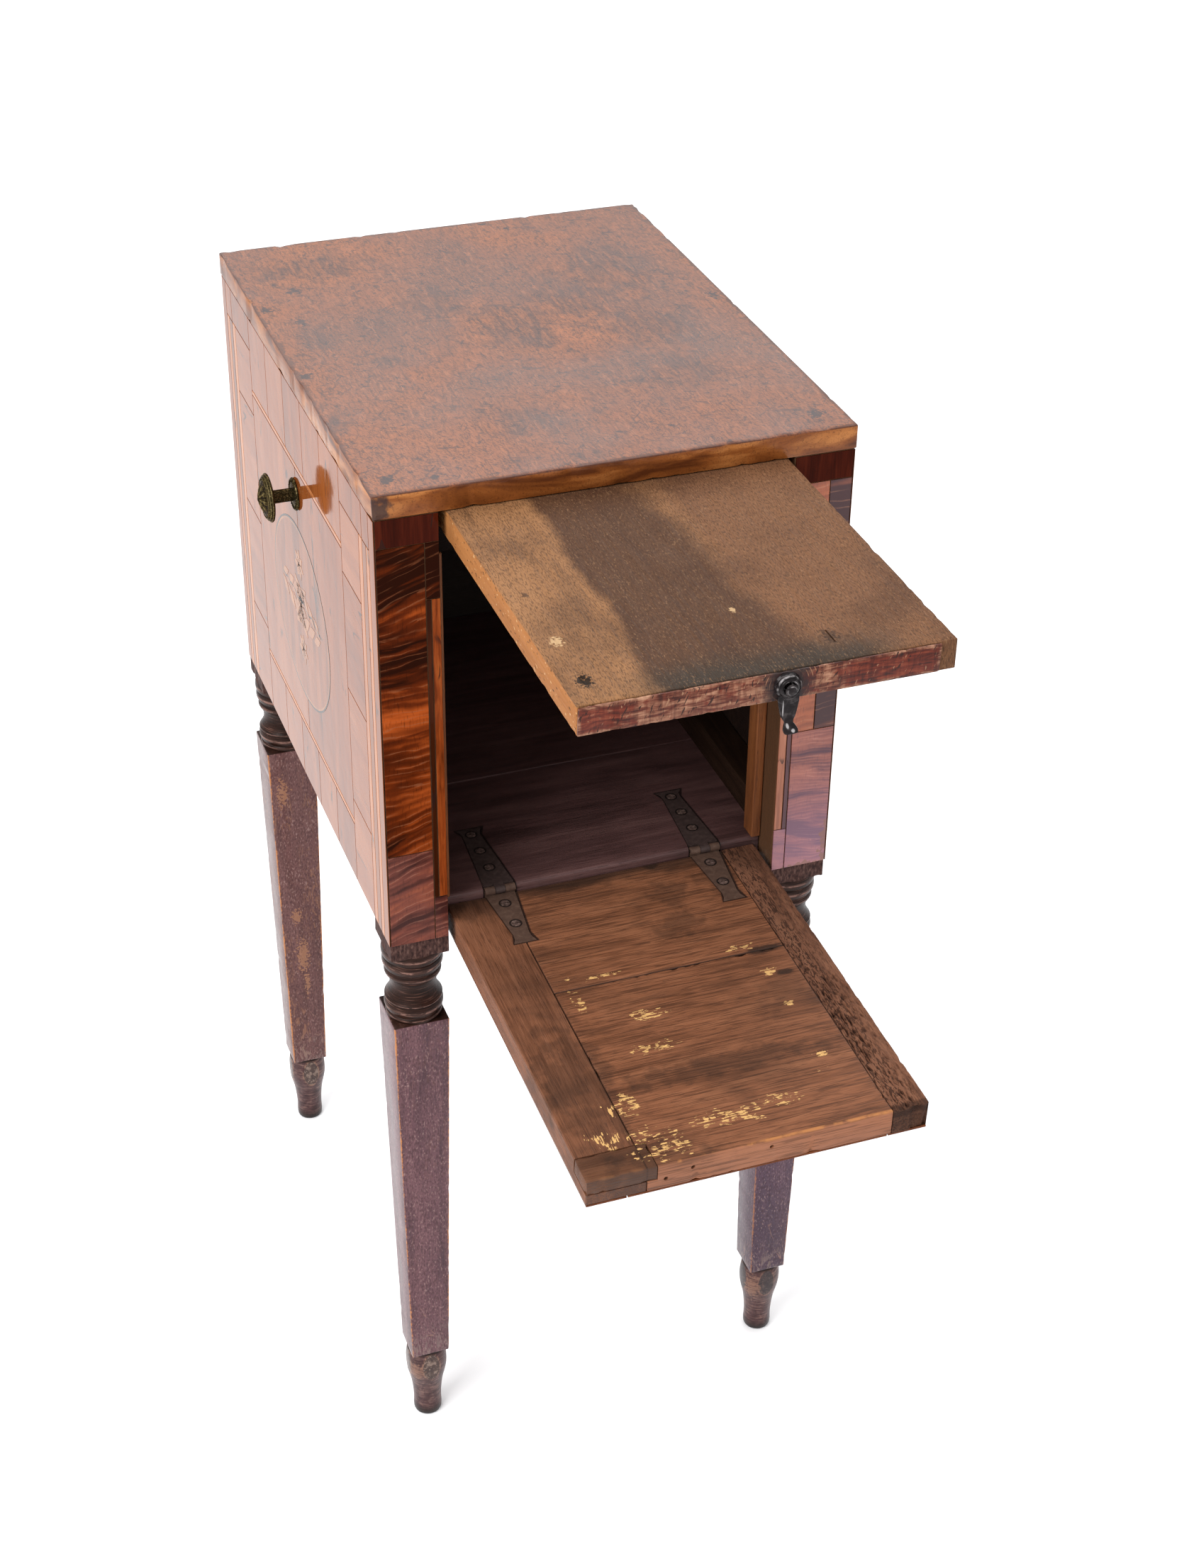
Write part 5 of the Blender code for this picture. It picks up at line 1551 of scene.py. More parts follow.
@dataclass
class Legs:
    """Four legs, each a post, a turned neck, a tapering square and a turned foot."""

    post: float = 0.0405
    across: float = 0.13475
    along: float = 0.17875
    post_top: float = 0.7637
    post_end: float = 0.4392
    square_start: float = 0.383
    square_end: float = 0.0675
    wide: float = 0.0387
    narrow: float = 0.0280
    steps: int = 56
    arris: float = 0.0009
    bite: float = 0.0007

    def neck(self) -> bpy.types.Object:
        """Turn the neck with its shoulder, rings and grooves."""
        profile = [(0.0, 0.4420), (0.0188, 0.4420)]
        profile += bow((0.0203, 0.4390), (0.0203, 0.4318), 0.0006)
        profile += [(0.0196, 0.4312), (0.0196, 0.4305)]
        profile += bow((0.0200, 0.4302), (0.0190, 0.4222), 0.0010)
        profile += [(0.0184, 0.4217), (0.0184, 0.4212)]
        profile += bow((0.0186, 0.4209), (0.0182, 0.4158), 0.0009)
        profile += [(0.0172, 0.4148)]
        profile += bow((0.0167, 0.4134), (0.0192, 0.3982), -0.0021, 9)
        profile += [(0.0196, 0.3977), (0.0196, 0.3969), (0.0190, 0.3964)]
        profile += bow((0.0189, 0.3960), (0.0188, 0.3876), 0.0012)
        profile += [(0.0182, 0.3871), (0.0182, 0.3865)]
        profile += bow((0.0187, 0.3861), (0.0191, 0.3833), 0.0003, 4)
        profile += [(0.0188, 0.3815), (0.0, 0.3815)]
        return Bench.turned("leg_neck", profile, self.steps)

    def square(self) -> bpy.types.Object:
        """Shape the tapering square with its bitten arrises."""
        half = self.wide / 2
        stick = Bench.block("leg_square", (-half, -half, self.square_end), (half, half, self.square_start))
        Bench.take(stick)
        bpy.ops.object.mode_set(mode="EDIT")
        Bench.choose(stick, lambda centre, normal: normal.z < -0.9)
        share = self.narrow / self.wide
        bpy.ops.transform.resize(value=(share, share, 1.0))
        bpy.ops.object.mode_set(mode="OBJECT")
        return Bench.worn(stick, 60, self.arris, self.bite, 8.0, (2,))

    def foot(self) -> bpy.types.Object:
        """Turn the foot and leave the square stick's flats on its collar."""
        profile = [(0.0, 0.0695), (0.0124, 0.0695), (0.0124, 0.0672), (0.0130, 0.0668)]
        profile += bow((0.0139, 0.0656), (0.0128, 0.0362), 0.0019, 10)
        profile += [(0.0122, 0.0335), (0.0117, 0.0305), (0.0112, 0.0265)]
        profile += bow((0.0109, 0.0235), (0.0105, 0.0050), -0.0004, 6)
        profile += [(0.0103, 0.0020), (0.0097, 0.0004), (0.0092, 0.0), (0.0, 0.0)]
        foot = Bench.turned("leg_foot", profile, self.steps)
        flat = self.narrow / 2
        Bench.take(foot)
        bpy.ops.object.mode_set(mode="EDIT")
        for way in ((1, 0, 0), (-1, 0, 0), (0, 1, 0), (0, -1, 0)):
            bpy.ops.mesh.select_all(action="SELECT")
            bpy.ops.mesh.bisect(plane_co=[flat * part for part in way], plane_no=way, clear_outer=True,
                                use_fill=True)
        bpy.ops.mesh.select_all(action="SELECT")
        bpy.ops.mesh.normals_make_consistent(inside=False)
        bpy.ops.object.mode_set(mode="OBJECT")
        return foot

    def build(self, shop: Dresser) -> None:
        """Model one leg, copy it four times and set each under its post."""
        stick = self.square()
        Bench.carve(stick, self.neck(), "UNION")
        Bench.carve(stick, self.foot(), "UNION")
        names = ["front_left_leg", "front_right_leg", "back_right_leg", "back_left_leg"]
        corners = [(-1, -1), (1, -1), (1, 1), (-1, 1)]
        for number, (name, (side, depth)) in enumerate(zip(names, corners)):
            leg = Bench.copy(stick, name.replace("leg", "turned_leg"))
            turn = Matrix.Rotation(number * math.pi / 2, 4, "Z")
            Bench.place(leg, Matrix.Translation((side * self.across, depth * self.along, 0)) @ turn)
            half = self.post / 2
            low = [side * self.across - half, depth * self.along - half, self.post_end]
            high = [side * self.across + half, depth * self.along + half, self.post_top]
            (low if side < 0 else high)[0] -= side * VENEER
            if depth < 0:
                low[1] += VENEER
            post = Bench.worn(Bench.block("post", low, high), 30, 0.0006, 0.0009, 2.0 + number, (0, 1, 2))
            Bench.carve(leg, post, "UNION")
            Bench.smooth(leg, 32.0)
            shop.piece(leg, Body.CASE, "stained_wood", [LegWood("leg wood")], [name])
        bpy.data.objects.remove(stick, do_unlink=True)


@dataclass
class SideInlay:
    """One side of the case: a core with banded veneer, light strings and an inlaid oval."""

    side: Side
    face: float = 0.1550
    thick: float = 0.018
    low: float = 0.4523
    high: float = 0.7636
    edge: float = 0.1989
    outer_string: tuple[float, float] = (0.1806, 0.1873)
    inner_string: tuple[float, float] = (0.1637, 0.1714)
    string_top: float = 0.7390
    band: float = 0.1190
    field: tuple[float, float] = (0.5020, 0.7060)
    string: float = 0.0036
    rows: tuple[float, ...] = (0.4523, 0.5190, 0.6050, 0.6900, 0.7390)
    oval: tuple[float, float, float, float] = (0.003, 0.594, 0.075, 0.067)
    line: float = 0.0014
    split: float = 0.604

    def mirrored(self, rects: Sequence[Rect]) -> list[Rect]:
        """Give slabs for both ends of the side."""
        return list(rects) + [(-c, b, -a, d) for a, b, c, d in rects]

    def build(self, shop: Dresser) -> None:
        """Lay the core, the veneers, the strings and the oval."""
        sign = self.side.value
        name = self.side.name.lower()
        skin = sign * self.face
        base = sign * (self.face - VENEER)
        back = sign * (self.face - self.thick)
        core = Bench.block(name + "_panel_core", (min(base, back), -0.1582, self.low),
                           (max(base, back), 0.1582, self.high))
        Bench.worn(core, 4, 0.0004, 0.0, 1.0)
        inside = Plain("panel inside", mid=(0.020, 0.009, 0.006), light=(0.040, 0.018, 0.010))
        shop.piece(core, Body.CASE, "walnut", [inside], [name + "_side_panel"])
        self.lay_veneer(shop, name, base, skin)
        self.lay_strings(shop, name, base, skin)
        self.lay_oval(shop, name, skin)

    def lay_veneer(self, shop: Dresser, name: str, base: float, skin: float) -> None:
        """Lay the field, the crossbanding and the edge bands."""
        outer, inner = self.outer_string, self.inner_string
        lower, upper = self.field
        gap = self.string
        ends = [(outer[1], self.low, self.edge, self.high)]
        ends += [(inner[1], self.string_top, outer[1], self.high)]
        cross = [(self.band, a, inner[0], b) for a, b in zip(self.rows, self.rows[1:])]
        cross += [(self.band, self.string_top, inner[1], self.high)]
        rects = self.mirrored(ends + cross)
        cuts = [-self.band + 2 * self.band * step / 5 for step in range(6)]
        rects += [(a, upper + gap, b, self.high) for a, b in zip(cuts, cuts[1:])]
        rects += [(a, self.low, b, lower - gap) for a, b in zip(cuts, cuts[1:])]
        rects += [(-self.band, lower, 0.0, upper), (0.0, lower, self.band, upper)]
        veneer = Bench.slabs(name + "_veneer", base, skin, rects, (1, 2, 0))
        Bench.turn_tags(veneer,
                        lambda spot: self.band < abs(spot.y) < inner[0] and spot.z < self.string_top)
        shop.piece(veneer, Body.CASE, "walnut", [Polished("side veneer", skin=self.face)])
        dark = self.mirrored([(inner[1], self.low, outer[0], self.string_top)])
        bands = Bench.slabs(name + "_dark_bands", base, skin, dark, (1, 2, 0))
        finish = Polished("dark band", skin=self.face, dark=(0.080, 0.0200, 0.0055),
                          mid=(0.145, 0.0400, 0.0105), light=(0.200, 0.0600, 0.0170))
        shop.piece(bands, Body.CASE, "walnut", [finish])

    def lay_strings(self, shop: Dresser, name: str, base: float, skin: float) -> None:
        """Lay the light strings."""
        rects = self.mirrored([(pair[0], self.low, pair[1], self.string_top)
                               for pair in (self.outer_string, self.inner_string)])
        for start in (self.field[0] - self.string, self.field[1]):
            rects.append((-self.band, start, self.band, start + self.string))
        strings = Bench.slabs(name + "_strings", base, skin, rects, (1, 2, 0))
        shop.piece(strings, Body.CASE, "walnut", [LIGHT_STRING])

    def lay_oval(self, shop: Dresser, name: str, skin: float) -> None:
        """Lay the oval with its two thin lines and a leaf spray."""
        sign = self.side.value
        at_y, at_z, wide, tall = self.oval
        bpy.ops.object.select_all(action="DESELECT")
        bpy.ops.mesh.primitive_circle_add(vertices=96, radius=1.0, fill_type="NGON")
        oval = bpy.context.object
        oval.name = name + "_oval"
        stand = Matrix.Rotation(math.radians(90), 4, "Y") @ Matrix.Diagonal((tall, wide, 1, 1))
        Bench.place(oval, Matrix.Translation((skin, at_y, at_z)) @ stand)
        bpy.ops.object.mode_set(mode="EDIT")
        bpy.ops.mesh.select_all(action="SELECT")
        for _ in range(2):
            bpy.ops.mesh.inset(thickness=self.line)
        bpy.ops.mesh.select_all(action="SELECT")
        bpy.ops.mesh.extrude_region_move(TRANSFORM_OT_translate={"value": (sign * 0.00012, 0, 0)})
        bpy.ops.mesh.select_all(action="SELECT")
        bpy.ops.mesh.normals_make_consistent(inside=False)
        bpy.ops.object.mode_set(mode="OBJECT")
        for face in oval.data.polygons:
            share = math.hypot((face.center.y - at_y) / wide, (face.center.z - at_z) / tall)
            face.material_index = 1 if share > 0.98 else 2 if share > 0.955 else 0
        split = self.split if self.side is Side.LEFT else 0.0
        ground = Polished("oval ground", dark=(0.112, 0.0280, 0.0070), mid=(0.205, 0.0570, 0.0140),
                          light=(0.270, 0.0880, 0.0240), figure=0.014, crack=split)
        line = Polished("thin dark line", dark=(0.014, 0.006, 0.005), mid=(0.025, 0.010, 0.007),
                        light=(0.040, 0.016, 0.010))
        pale = Polished("thin pale line", dark=(0.19, 0.064, 0.019), mid=(0.27, 0.104, 0.034),
                        light=(0.35, 0.150, 0.052))
        shop.piece(oval, Body.CASE, "walnut", [ground, line, pale])
        self.lay_spray(shop, name, skin + sign * 0.00012)

    def lay_spray(self, shop: Dresser, name: str, skin: float) -> None:
        """Lay two branches of paired leaves and a blossom in paler wood on the oval."""
        sign = self.side.value
        at_y, at_z = self.oval[:2]
        leaf = self.cut_leaf(sign)
        parts = []
        for step in range(4):
            for way in (-1, 1):
                for lean in (-1, 1):
                    angle = way * (math.pi / 2 - lean * (0.62 - 0.05 * step))
                    length = 0.029 - 0.0035 * step
                    parts.append((0.006 + lean * 0.001, way * (0.009 + 0.014 * step), angle, length,
                                  length * 0.38))
        for rise, size in ((0.006, 0.014), (0.038, 0.011), (-0.028, 0.011)):
            for petal in range(7):
                parts.append((rise, 0.0, petal * math.tau / 7, size, size * 0.6))
        pieces = []
        for rise, shift, angle, length, width in parts:
            twin = Bench.copy(leaf, "leaf")
            spin = Matrix.Rotation(angle, 4, "X") @ Matrix.Diagonal((1, width, length, 1))
            pieces.append(Bench.place(twin, Matrix.Translation((skin, at_y + shift, at_z + rise)) @ spin))
        bpy.data.objects.remove(leaf, do_unlink=True)
        spray = Bench.unite(name + "_leaf_spray", pieces)
        split = self.split if self.side is Side.LEFT else 0.0
        finish = Polished("leaf wood", dark=(0.20, 0.068, 0.021), mid=(0.29, 0.112, 0.038),
                          light=(0.38, 0.165, 0.062), figure=0.008, crack=split)
        shop.piece(spray, Body.CASE, "walnut", [finish])

    @staticmethod
    def cut_leaf(sign: int) -> bpy.types.Object:
        """Cut one leaf of length and width one, pointing up from the origin."""
        bpy.ops.object.select_all(action="DESELECT")
        bpy.ops.mesh.primitive_circle_add(vertices=20, radius=0.5, fill_type="NGON")
        leaf = bpy.context.object
        Bench.place(leaf, Matrix.Translation((0, 0, 0.5)) @ Matrix.Rotation(math.radians(90), 4, "Y"))
        for vertex in leaf.data.vertices:
            vertex.co.y *= 1.0 - 0.55 * abs(vertex.co.z - 0.5) * 2
        bpy.ops.object.mode_set(mode="EDIT")
        bpy.ops.mesh.select_all(action="SELECT")
        bpy.ops.mesh.extrude_region_move(TRANSFORM_OT_translate={"value": (sign * 0.0001, 0, 0)})
        bpy.ops.mesh.select_all(action="SELECT")
        bpy.ops.mesh.normals_make_consistent(inside=False)
        bpy.ops.object.mode_set(mode="OBJECT")
        return leaf


@dataclass
class FrontStile:
    """Veneer on the front of one post: a red band, flamed walnut, a dark line and an orange string."""

    side: Side
    face: float = 0.1990
    outer: float = 0.1541
    inner: float = 0.1146
    flame: float = 0.1238
    line: float = 0.1204
    low: float = 0.4523
    red: tuple[float, float] = (0.7445, 0.7636)
    string: tuple[float, float] = (0.4855, 0.7060)
    smoke: tuple[Rect, ...] = ((0.738, 0.20, 0.010, 0.07), (0.730, 0.20, 0.034, 0.17),
                               (0.722, 0.45, 0.006, 0.08), (0.700, 0.40, 0.010, 0.11),
                               (0.684, 0.15, 0.018, 0.13), (0.662, 0.12, 0.020, 0.10),
                               (0.646, 0.12, 0.005, 0.03), (0.624, 0.05, 0.015, -0.13),
                               (0.598, 0.08, 0.010, 0.01), (0.570, 0.05, 0.020, -0.13),
                               (0.549, 0.40, 0.004, 0.09), (0.538, 0.36, 0.005, 0.11))

    def across(self, rects: Sequence[Rect]) -> list[Rect]:
        """Give slabs on this post from distances off the middle."""
        sign = self.side.value
        return [(sign * a, b, sign * c, d) for a, b, c, d in rects]

    def pieces(self) -> tuple[list[Rect], list[float], list[Rect]]:
        """Give the upper flamed pieces with their tones, and the shaded pieces below them."""
        low, high = self.low, self.red[0]
        ends = [(self.inner, low, self.flame, self.string[0]),
                (self.inner, self.string[1], self.flame, high)]
        if self.side is Side.LEFT:
            joint, tones = 0.5231, [0.64, 0.34]
            upper = [(self.flame, joint, self.outer, high), ends[1]]
        else:
            joint, middle, tones = 0.5615, 0.1392, [0.86, 0.16, 0.4]
            upper = [(self.flame, joint, middle, high), (middle, joint, self.outer, high), ends[1]]
        return upper, tones, [(self.flame, low, self.outer, joint), ends[0]]

    def build(self, shop: Dresser) -> None:
        """Lay the slabs and dress them."""
        name = self.side.name.lower()
        base, skin = -self.face + VENEER, -self.face
        slabs, tones, shaded = self.pieces()
        flame = Bench.slabs(name + "_flame_veneer", base, skin, self.across(slabs), (0, 2, 1), tones)
        lower = Bench.slabs(name + "_shaded_veneer", base, skin, self.across(shaded), (0, 2, 1),
                            [0.62, 0.5])
        if self.side is Side.LEFT:
            finish = Flame("flame walnut", bands=self.smoke, fan=0.3)
            below = Flame("shaded walnut", slope=0.3, bands=((0.497, 0.3, 0.004, 0.10),), shine=0.12,
                          dark=(0.036, 0.009, 0.007), mid=(0.135, 0.036, 0.024), light=(0.25, 0.066, 0.032),
                          curl=(0.28, 0.125, 0.085))
        else:
            finish = Flame("orange walnut", middle=0.139, dark=(0.046, 0.016, 0.018),
                           mid=(0.16, 0.048, 0.030), light=(0.34, 0.098, 0.046), curl=(0.38, 0.17, 0.10),
                           slope=0.05, shine=0.35)
            bands = ((0.4795, -0.5, 0.007, 0.26), (0.512, -0.05, 0.003, 0.10), (0.530, -0.05, 0.002, 0.08))
            # the lower right stile gets a painted purple sheen towards its bottom
            below = Flame("sloping walnut", middle=0.139, slope=-0.12, bands=bands, shine=0.35,
                          curls=2300.0, dark=(0.085, 0.034, 0.048), mid=(0.262, 0.090, 0.072),
                          light=(0.390, 0.142, 0.100), curl=(0.42, 0.19, 0.15), haze_at=(0.545, 0.470),
                          torn=((0.1545, 0.470, 0.0050, 0.016), (0.140, 0.4523, 0.016, 0.0030)))
        shop.piece(flame, Body.CASE, "walnut", [finish])
        shop.piece(lower, Body.CASE, "walnut", [below])
        if self.side is Side.LEFT:
            dark = Polished("dark line", shine=0.03, dark=(0.012, 0.0030, 0.001),
                            mid=(0.034, 0.0075, 0.0022), light=(0.065, 0.015, 0.0045))
            orange = Polished("orange string", shine=0.03, dark=(0.055, 0.010, 0.002),
                              mid=(0.19, 0.036, 0.007), light=(0.32, 0.085, 0.018), figure=0.004)
        else:
            dark = Polished("purple line", shine=0.3, dark=(0.045, 0.020, 0.028), mid=(0.085, 0.036, 0.042),
                            light=(0.13, 0.055, 0.055))
            orange = Polished("pink string", shine=0.3, dark=(0.18, 0.060, 0.034), mid=(0.34, 0.125, 0.070),
                              light=(0.45, 0.19, 0.115), figure=0.005)
        red = Polished("red band", shine=0.03, dark=(0.012, 0.0019, 0.0008), mid=(0.037, 0.0048, 0.0017),
                       light=(0.075, 0.0120, 0.0040), figure=0.010)
        for kind, start, end, (low, high), finish in (
                ("dark_line", self.line, self.flame, self.string, dark),
                ("orange_string", self.inner, self.line, self.string, orange),
                ("red_band", self.inner, self.outer, self.red, red)):
            slab = Bench.slabs(f"{name}_{kind}", base, skin, self.across([(start, low, end, high)]),
                               (0, 2, 1))
            shop.piece(slab, Body.CASE, "walnut", [finish])


@dataclass
class Inside:
    """Solids inside and behind the case, which keep their shape and get old wood."""

    def build(self, shop: Dresser) -> None:
        """Dress the floor, rails, runners, stops and back."""
        # the floor's leaf fields lay painted shadow in the gaps round the hinge leaves
        floor = Plain("floor wood", dark=(0.028, 0.013, 0.012), mid=(0.078, 0.036, 0.034),
                      light=(0.135, 0.068, 0.062), figure=0.016, rough=0.5,
                      leaf=(0.070, 0.0126, 0.0190, 0.008), leaf_root=-0.1765)
        shop.node(floor, "front_floor_board", "back_floor_board")
        rails = Plain("rail wood", grain=Grain.ALONG_Y, mid=(0.022, 0.011, 0.007),
                      light=(0.042, 0.021, 0.013), shine=0.05)
        shop.node(rails, "left_floor_rail", "right_floor_rail", "left_slide_guide", "right_slide_guide")
        runners = Plain("runner wood", grain=Grain.ALONG_Y, dark=(0.003, 0.002, 0.0015),
                        mid=(0.006, 0.0035, 0.0025), light=(0.012, 0.007, 0.005), shine=0.03)
        shop.node(runners, "left_slide_runner", "right_slide_runner")
        stops = Plain("stop wood", grain=Grain.ALONG_Z, dark=(0.06, 0.019, 0.006),
                      mid=(0.175, 0.054, 0.0145), light=(0.27, 0.092, 0.026))
        shop.node(stops, "left_door_stop", "right_door_stop")
        # the back boards get painted shade on their inner face, in front of y 0.188
        back = Plain("back wood", dark=(0.022, 0.011, 0.007), mid=(0.060, 0.030, 0.018),
                     light=(0.11, 0.058, 0.034), figure=0.020, rough=0.7, outside=0.188)
        shop.node(back, "lower_back_board", "upper_back_board")


@dataclass
class Slide:
    """The pull-out board and the red strip on its front edge."""

    cells: int = 90
    gouge: Point = (-0.097, -0.407, 0.7642)
    slot: tuple[Point, Point] = ((0.0446, -0.4120, 0.7624), (0.0456, -0.3985, 0.7650))

    def build(self, shop: Dresser) -> None:
        """Model the board with its marks, then the strip."""
        board = Bench.block("slide_worn_board", *shop.box("slide_board"))
        Bench.worn(board, self.cells, 0.0006, 0.0009, 11.0)
        bpy.ops.object.select_all(action="DESELECT")
        bpy.ops.mesh.primitive_ico_sphere_add(subdivisions=3, radius=1.0, location=self.gouge,
                                              scale=(0.0028, 0.0055, 0.0022))
        tool = bpy.context.object
        bpy.ops.object.transform_apply(location=True, rotation=True, scale=True)
        for vertex in tool.data.vertices:
            vertex.co += vertex.normal * 0.0009 * noise.noise(vertex.co * 420.0)
        Bench.carve(board, tool)
        Bench.carve(board, Bench.block("slot_tool", *self.slot))
        Bench.smooth(board)
        wood = SlideWood("slide wood", grain=Grain.ALONG_Y, dark=(0.070, 0.034, 0.017),
                         mid=(0.220, 0.103, 0.043), light=(0.290, 0.142, 0.062), figure=0.022, rough=0.65,
                         shine=0.12)
        shop.piece(board, Body.SLIDE, "raw_wood", [wood], ["slide_board"])
        strip = Bench.block("slide_worn_strip", *shop.box("slide_edge_veneer"))
        Bench.worn(strip, 96, 0.0004, 0.0007, 5.0, (0,))
        shop.piece(strip, Body.SLIDE, "red_edge", [RedStrip("red strip")], ["slide_edge_veneer"])
        shop.node(BLACK_IRON, "latch_washer", "latch_screw")


@dataclass
class TurnButton:
    """The iron turn-button: a ringed head, a flat arm, a pinched neck and a curled tip."""

    pivot: Point = (0.0086, -0.4338, 0.7548)
    steps: int = 40

    def head(self) -> bpy.types.Object:
        """Turn the ringed head round the screw."""
        profile = [(0.0038, 0.0), (0.0074, 0.0)]
        profile += bow((0.0075, 0.0004), (0.0066, 0.0021), 0.0003, 4)
        profile += [(0.0062, 0.0021), (0.0061, 0.0018)]
        profile += bow((0.0058, 0.0019), (0.0047, 0.0030), 0.0003, 4)
        profile += [(0.0044, 0.0030), (0.0042, 0.0026), (0.0038, 0.0026), (0.0038, 0.0)]
        return Bench.turned("button_head", profile, self.steps)

    def arm(self) -> bpy.types.Object:
        """Draw the arm out of a block, step by step, and curl its end."""
        arm = Bench.block("button_arm", (-0.0062, 0.0002, -0.0085), (0.0062, 0.0020, -0.0040))
        Bench.take(arm)
        bpy.ops.object.mode_set(mode="EDIT")
        Bench.choose(arm, lambda centre, normal: normal.z < -0.9)
        for drop, out, share, thick in ((-0.0050, 0.0001, 0.84, 1.0), (-0.0045, 0.0002, 0.82, 1.05),
                                        (-0.0018, 0.0004, 0.66, 1.0), (-0.0010, 0.0008, 0.85, 1.0),
                                        (-0.0014, 0.0012, 1.45, 1.05), (-0.0016, 0.0016, 1.25, 0.95),
                                        (-0.0014, 0.0012, 0.95, 0.9), (-0.0008, 0.0004, 0.6, 0.7)):
            bpy.ops.mesh.extrude_region_move(TRANSFORM_OT_translate={"value": (0, out, drop)})
            bpy.ops.transform.resize(value=(share, thick, 1.0))
        bpy.ops.object.mode_set(mode="OBJECT")
        Bench.change(arm, "BEVEL", width=0.0004, segments=2, limit_method="ANGLE")
        return Bench.change(arm, "SUBSURF", levels=2)

    def build(self, shop: Dresser) -> None:
        """Join head and arm and hang them on the pivot."""
        button = Bench.unite("iron_turn_button", [self.head_out(), self.arm_out()])
        Bench.place(button, Matrix.Translation(self.pivot))
        Bench.smooth(button, 40.0)
        shop.piece(button, Body.LATCH, "dark_iron", [BLACK_IRON], ["latch_arm"])

    def head_out(self) -> bpy.types.Object:
        """Turn the head so that it faces the front."""
        return Bench.place(self.head(), Matrix.Rotation(math.radians(90), 4, "X"))

    def arm_out(self) -> bpy.types.Object:
        """Turn the arm so that its outer side faces the front."""
        return Bench.place(self.arm(), Matrix.Diagonal((1, -1, 1, 1)))


@dataclass
class Knob:
    """The brass knob on the left side: a stem, a stepped head with relief, and a beaded rosette."""

    at: Point = (-0.1550, 0.001, 0.686)
    steps: int = 120
    beads: int = 44
    leaves: int = 10
    dome: tuple[float, float] = (0.0122, 0.0214)
    crests: tuple[float, ...] = (0.0163, 0.0152, 0.0137)

    def build(self, shop: Dresser) -> None:
        """Turn the parts, set the relief and mount them."""
        profile = [(0.0, 0.0004), (0.0045, 0.0004), (0.0044, 0.0090), (0.0045, 0.0164)]
        profile += [(0.0100, 0.0168), (0.0150, 0.0172)]
        profile += bow((0.0161, 0.0176), (0.0163, 0.0190), 0.0003, 4)
        profile += [(0.0155, 0.0193), (0.0155, 0.0196)]
        profile += bow((0.0154, 0.0197), (0.0146, 0.0207), 0.0003, 3)
        profile += [(0.0141, 0.0206), (0.0140, 0.0209)]
        profile += bow((0.0139, 0.0210), (0.0132, 0.0217), 0.0003, 3)
        profile += [(0.0126, 0.0214)]
        profile += bow(self.dome, (0.0, 0.0259), 0.0006, 16)
        head = Bench.turned("knob_body", profile, self.steps)
        self.raise_leaves(head)
        knob = Bench.unite("brass_knob", [head] + self.ring(0.00032, self.beads, 0.0128, 0.0216))
        self.mount(shop, knob, "knob_head")
        profile = [(0.0046, 0.0004), (0.0108, 0.0004)]
        profile += bow((0.0112, 0.0008), (0.0104, 0.0022), 0.0002, 4)
        profile += [(0.0090, 0.0018), (0.0060, 0.0024), (0.0046, 0.0026), (0.0046, 0.0004)]
        rosette = Bench.turned("knob_disc", profile, self.steps)
        disc = Bench.unite("brass_rosette", [rosette] + self.ring(0.00075, 30, 0.0092, 0.0020))
        self.mount(shop, disc, "knob_rosette")
        shop.node(OldMetal("dark iron", rough=0.5), "knob_nut")

    def raise_leaves(self, head: bpy.types.Object) -> None:
        """Raise a whorl of veined leaves and a ring of buds on the domed face."""
        reach, base = self.dome
        rise = head.data.attributes.new("rise", "FLOAT", "POINT")
        for vertex in head.data.vertices:
            away = math.hypot(vertex.co.x, vertex.co.y)
            share = away / reach
            # ring crests get rise 0.9, laid by the brass as rubbed wear and painted highlight
            if any(abs(away - crest) < 0.00016 for crest in self.crests):
                rise.data[vertex.index].value = 0.9
            if vertex.co.z > base and 0.01 < share < 0.99:
                angle = math.atan2(vertex.co.y, vertex.co.x)
                leaf = math.cos(self.leaves * angle + 2.4 * share) * math.sin(math.pi * share)
                vein = 0.5 * math.cos(3 * self.leaves * angle - 3.0 * share) * math.sin(math.pi * share)
                ripple = 0.5 * math.cos(6 * math.pi * share)
                rise.data[vertex.index].value = leaf + vein + ripple
                vertex.co.z += 0.00022 * (leaf + vein + ripple)

    @staticmethod
    def ring(radius: float, count: int, distance: float, height: float) -> list[bpy.types.Object]:
        """Set beads in a ring."""
        beads = []
        for number in range(count):
            angle = 2 * math.pi * number / count
            spot = (distance * math.cos(angle), distance * math.sin(angle), height)
            bpy.ops.object.select_all(action="DESELECT")
            bpy.ops.mesh.primitive_ico_sphere_add(subdivisions=1, radius=radius, location=spot)
            beads.append(bpy.context.object)
        return beads

    def mount(self, shop: Dresser, piece: bpy.types.Object, stands_for: str) -> None:
        """Point a part away from the left side and dress it."""
        Bench.take(piece)
        bpy.ops.object.mode_set(mode="EDIT")
        bpy.ops.mesh.select_all(action="SELECT")
        bpy.ops.mesh.normals_make_consistent(inside=False)
        bpy.ops.object.mode_set(mode="OBJECT")
        Bench.place(piece, Matrix.Translation(self.at) @ Matrix.Rotation(math.radians(-90), 4, "Y"))
        Bench.smooth(piece, 40.0)
        brass = OldMetal("old brass", dark=(0.007, 0.0052, 0.0024), mid=(0.032, 0.0235, 0.0100),
                         rubbed=(0.19, 0.146, 0.066), metal=0.7, rough=0.28, grit=1100.0, relief=0.0001,
                         shine=0.06, raised_wear_and_highlight=0.7, tint=(0.36, 0.30, 0.17))
        shop.piece(piece, Body.CASE, "old_brass", [brass], [stands_for])


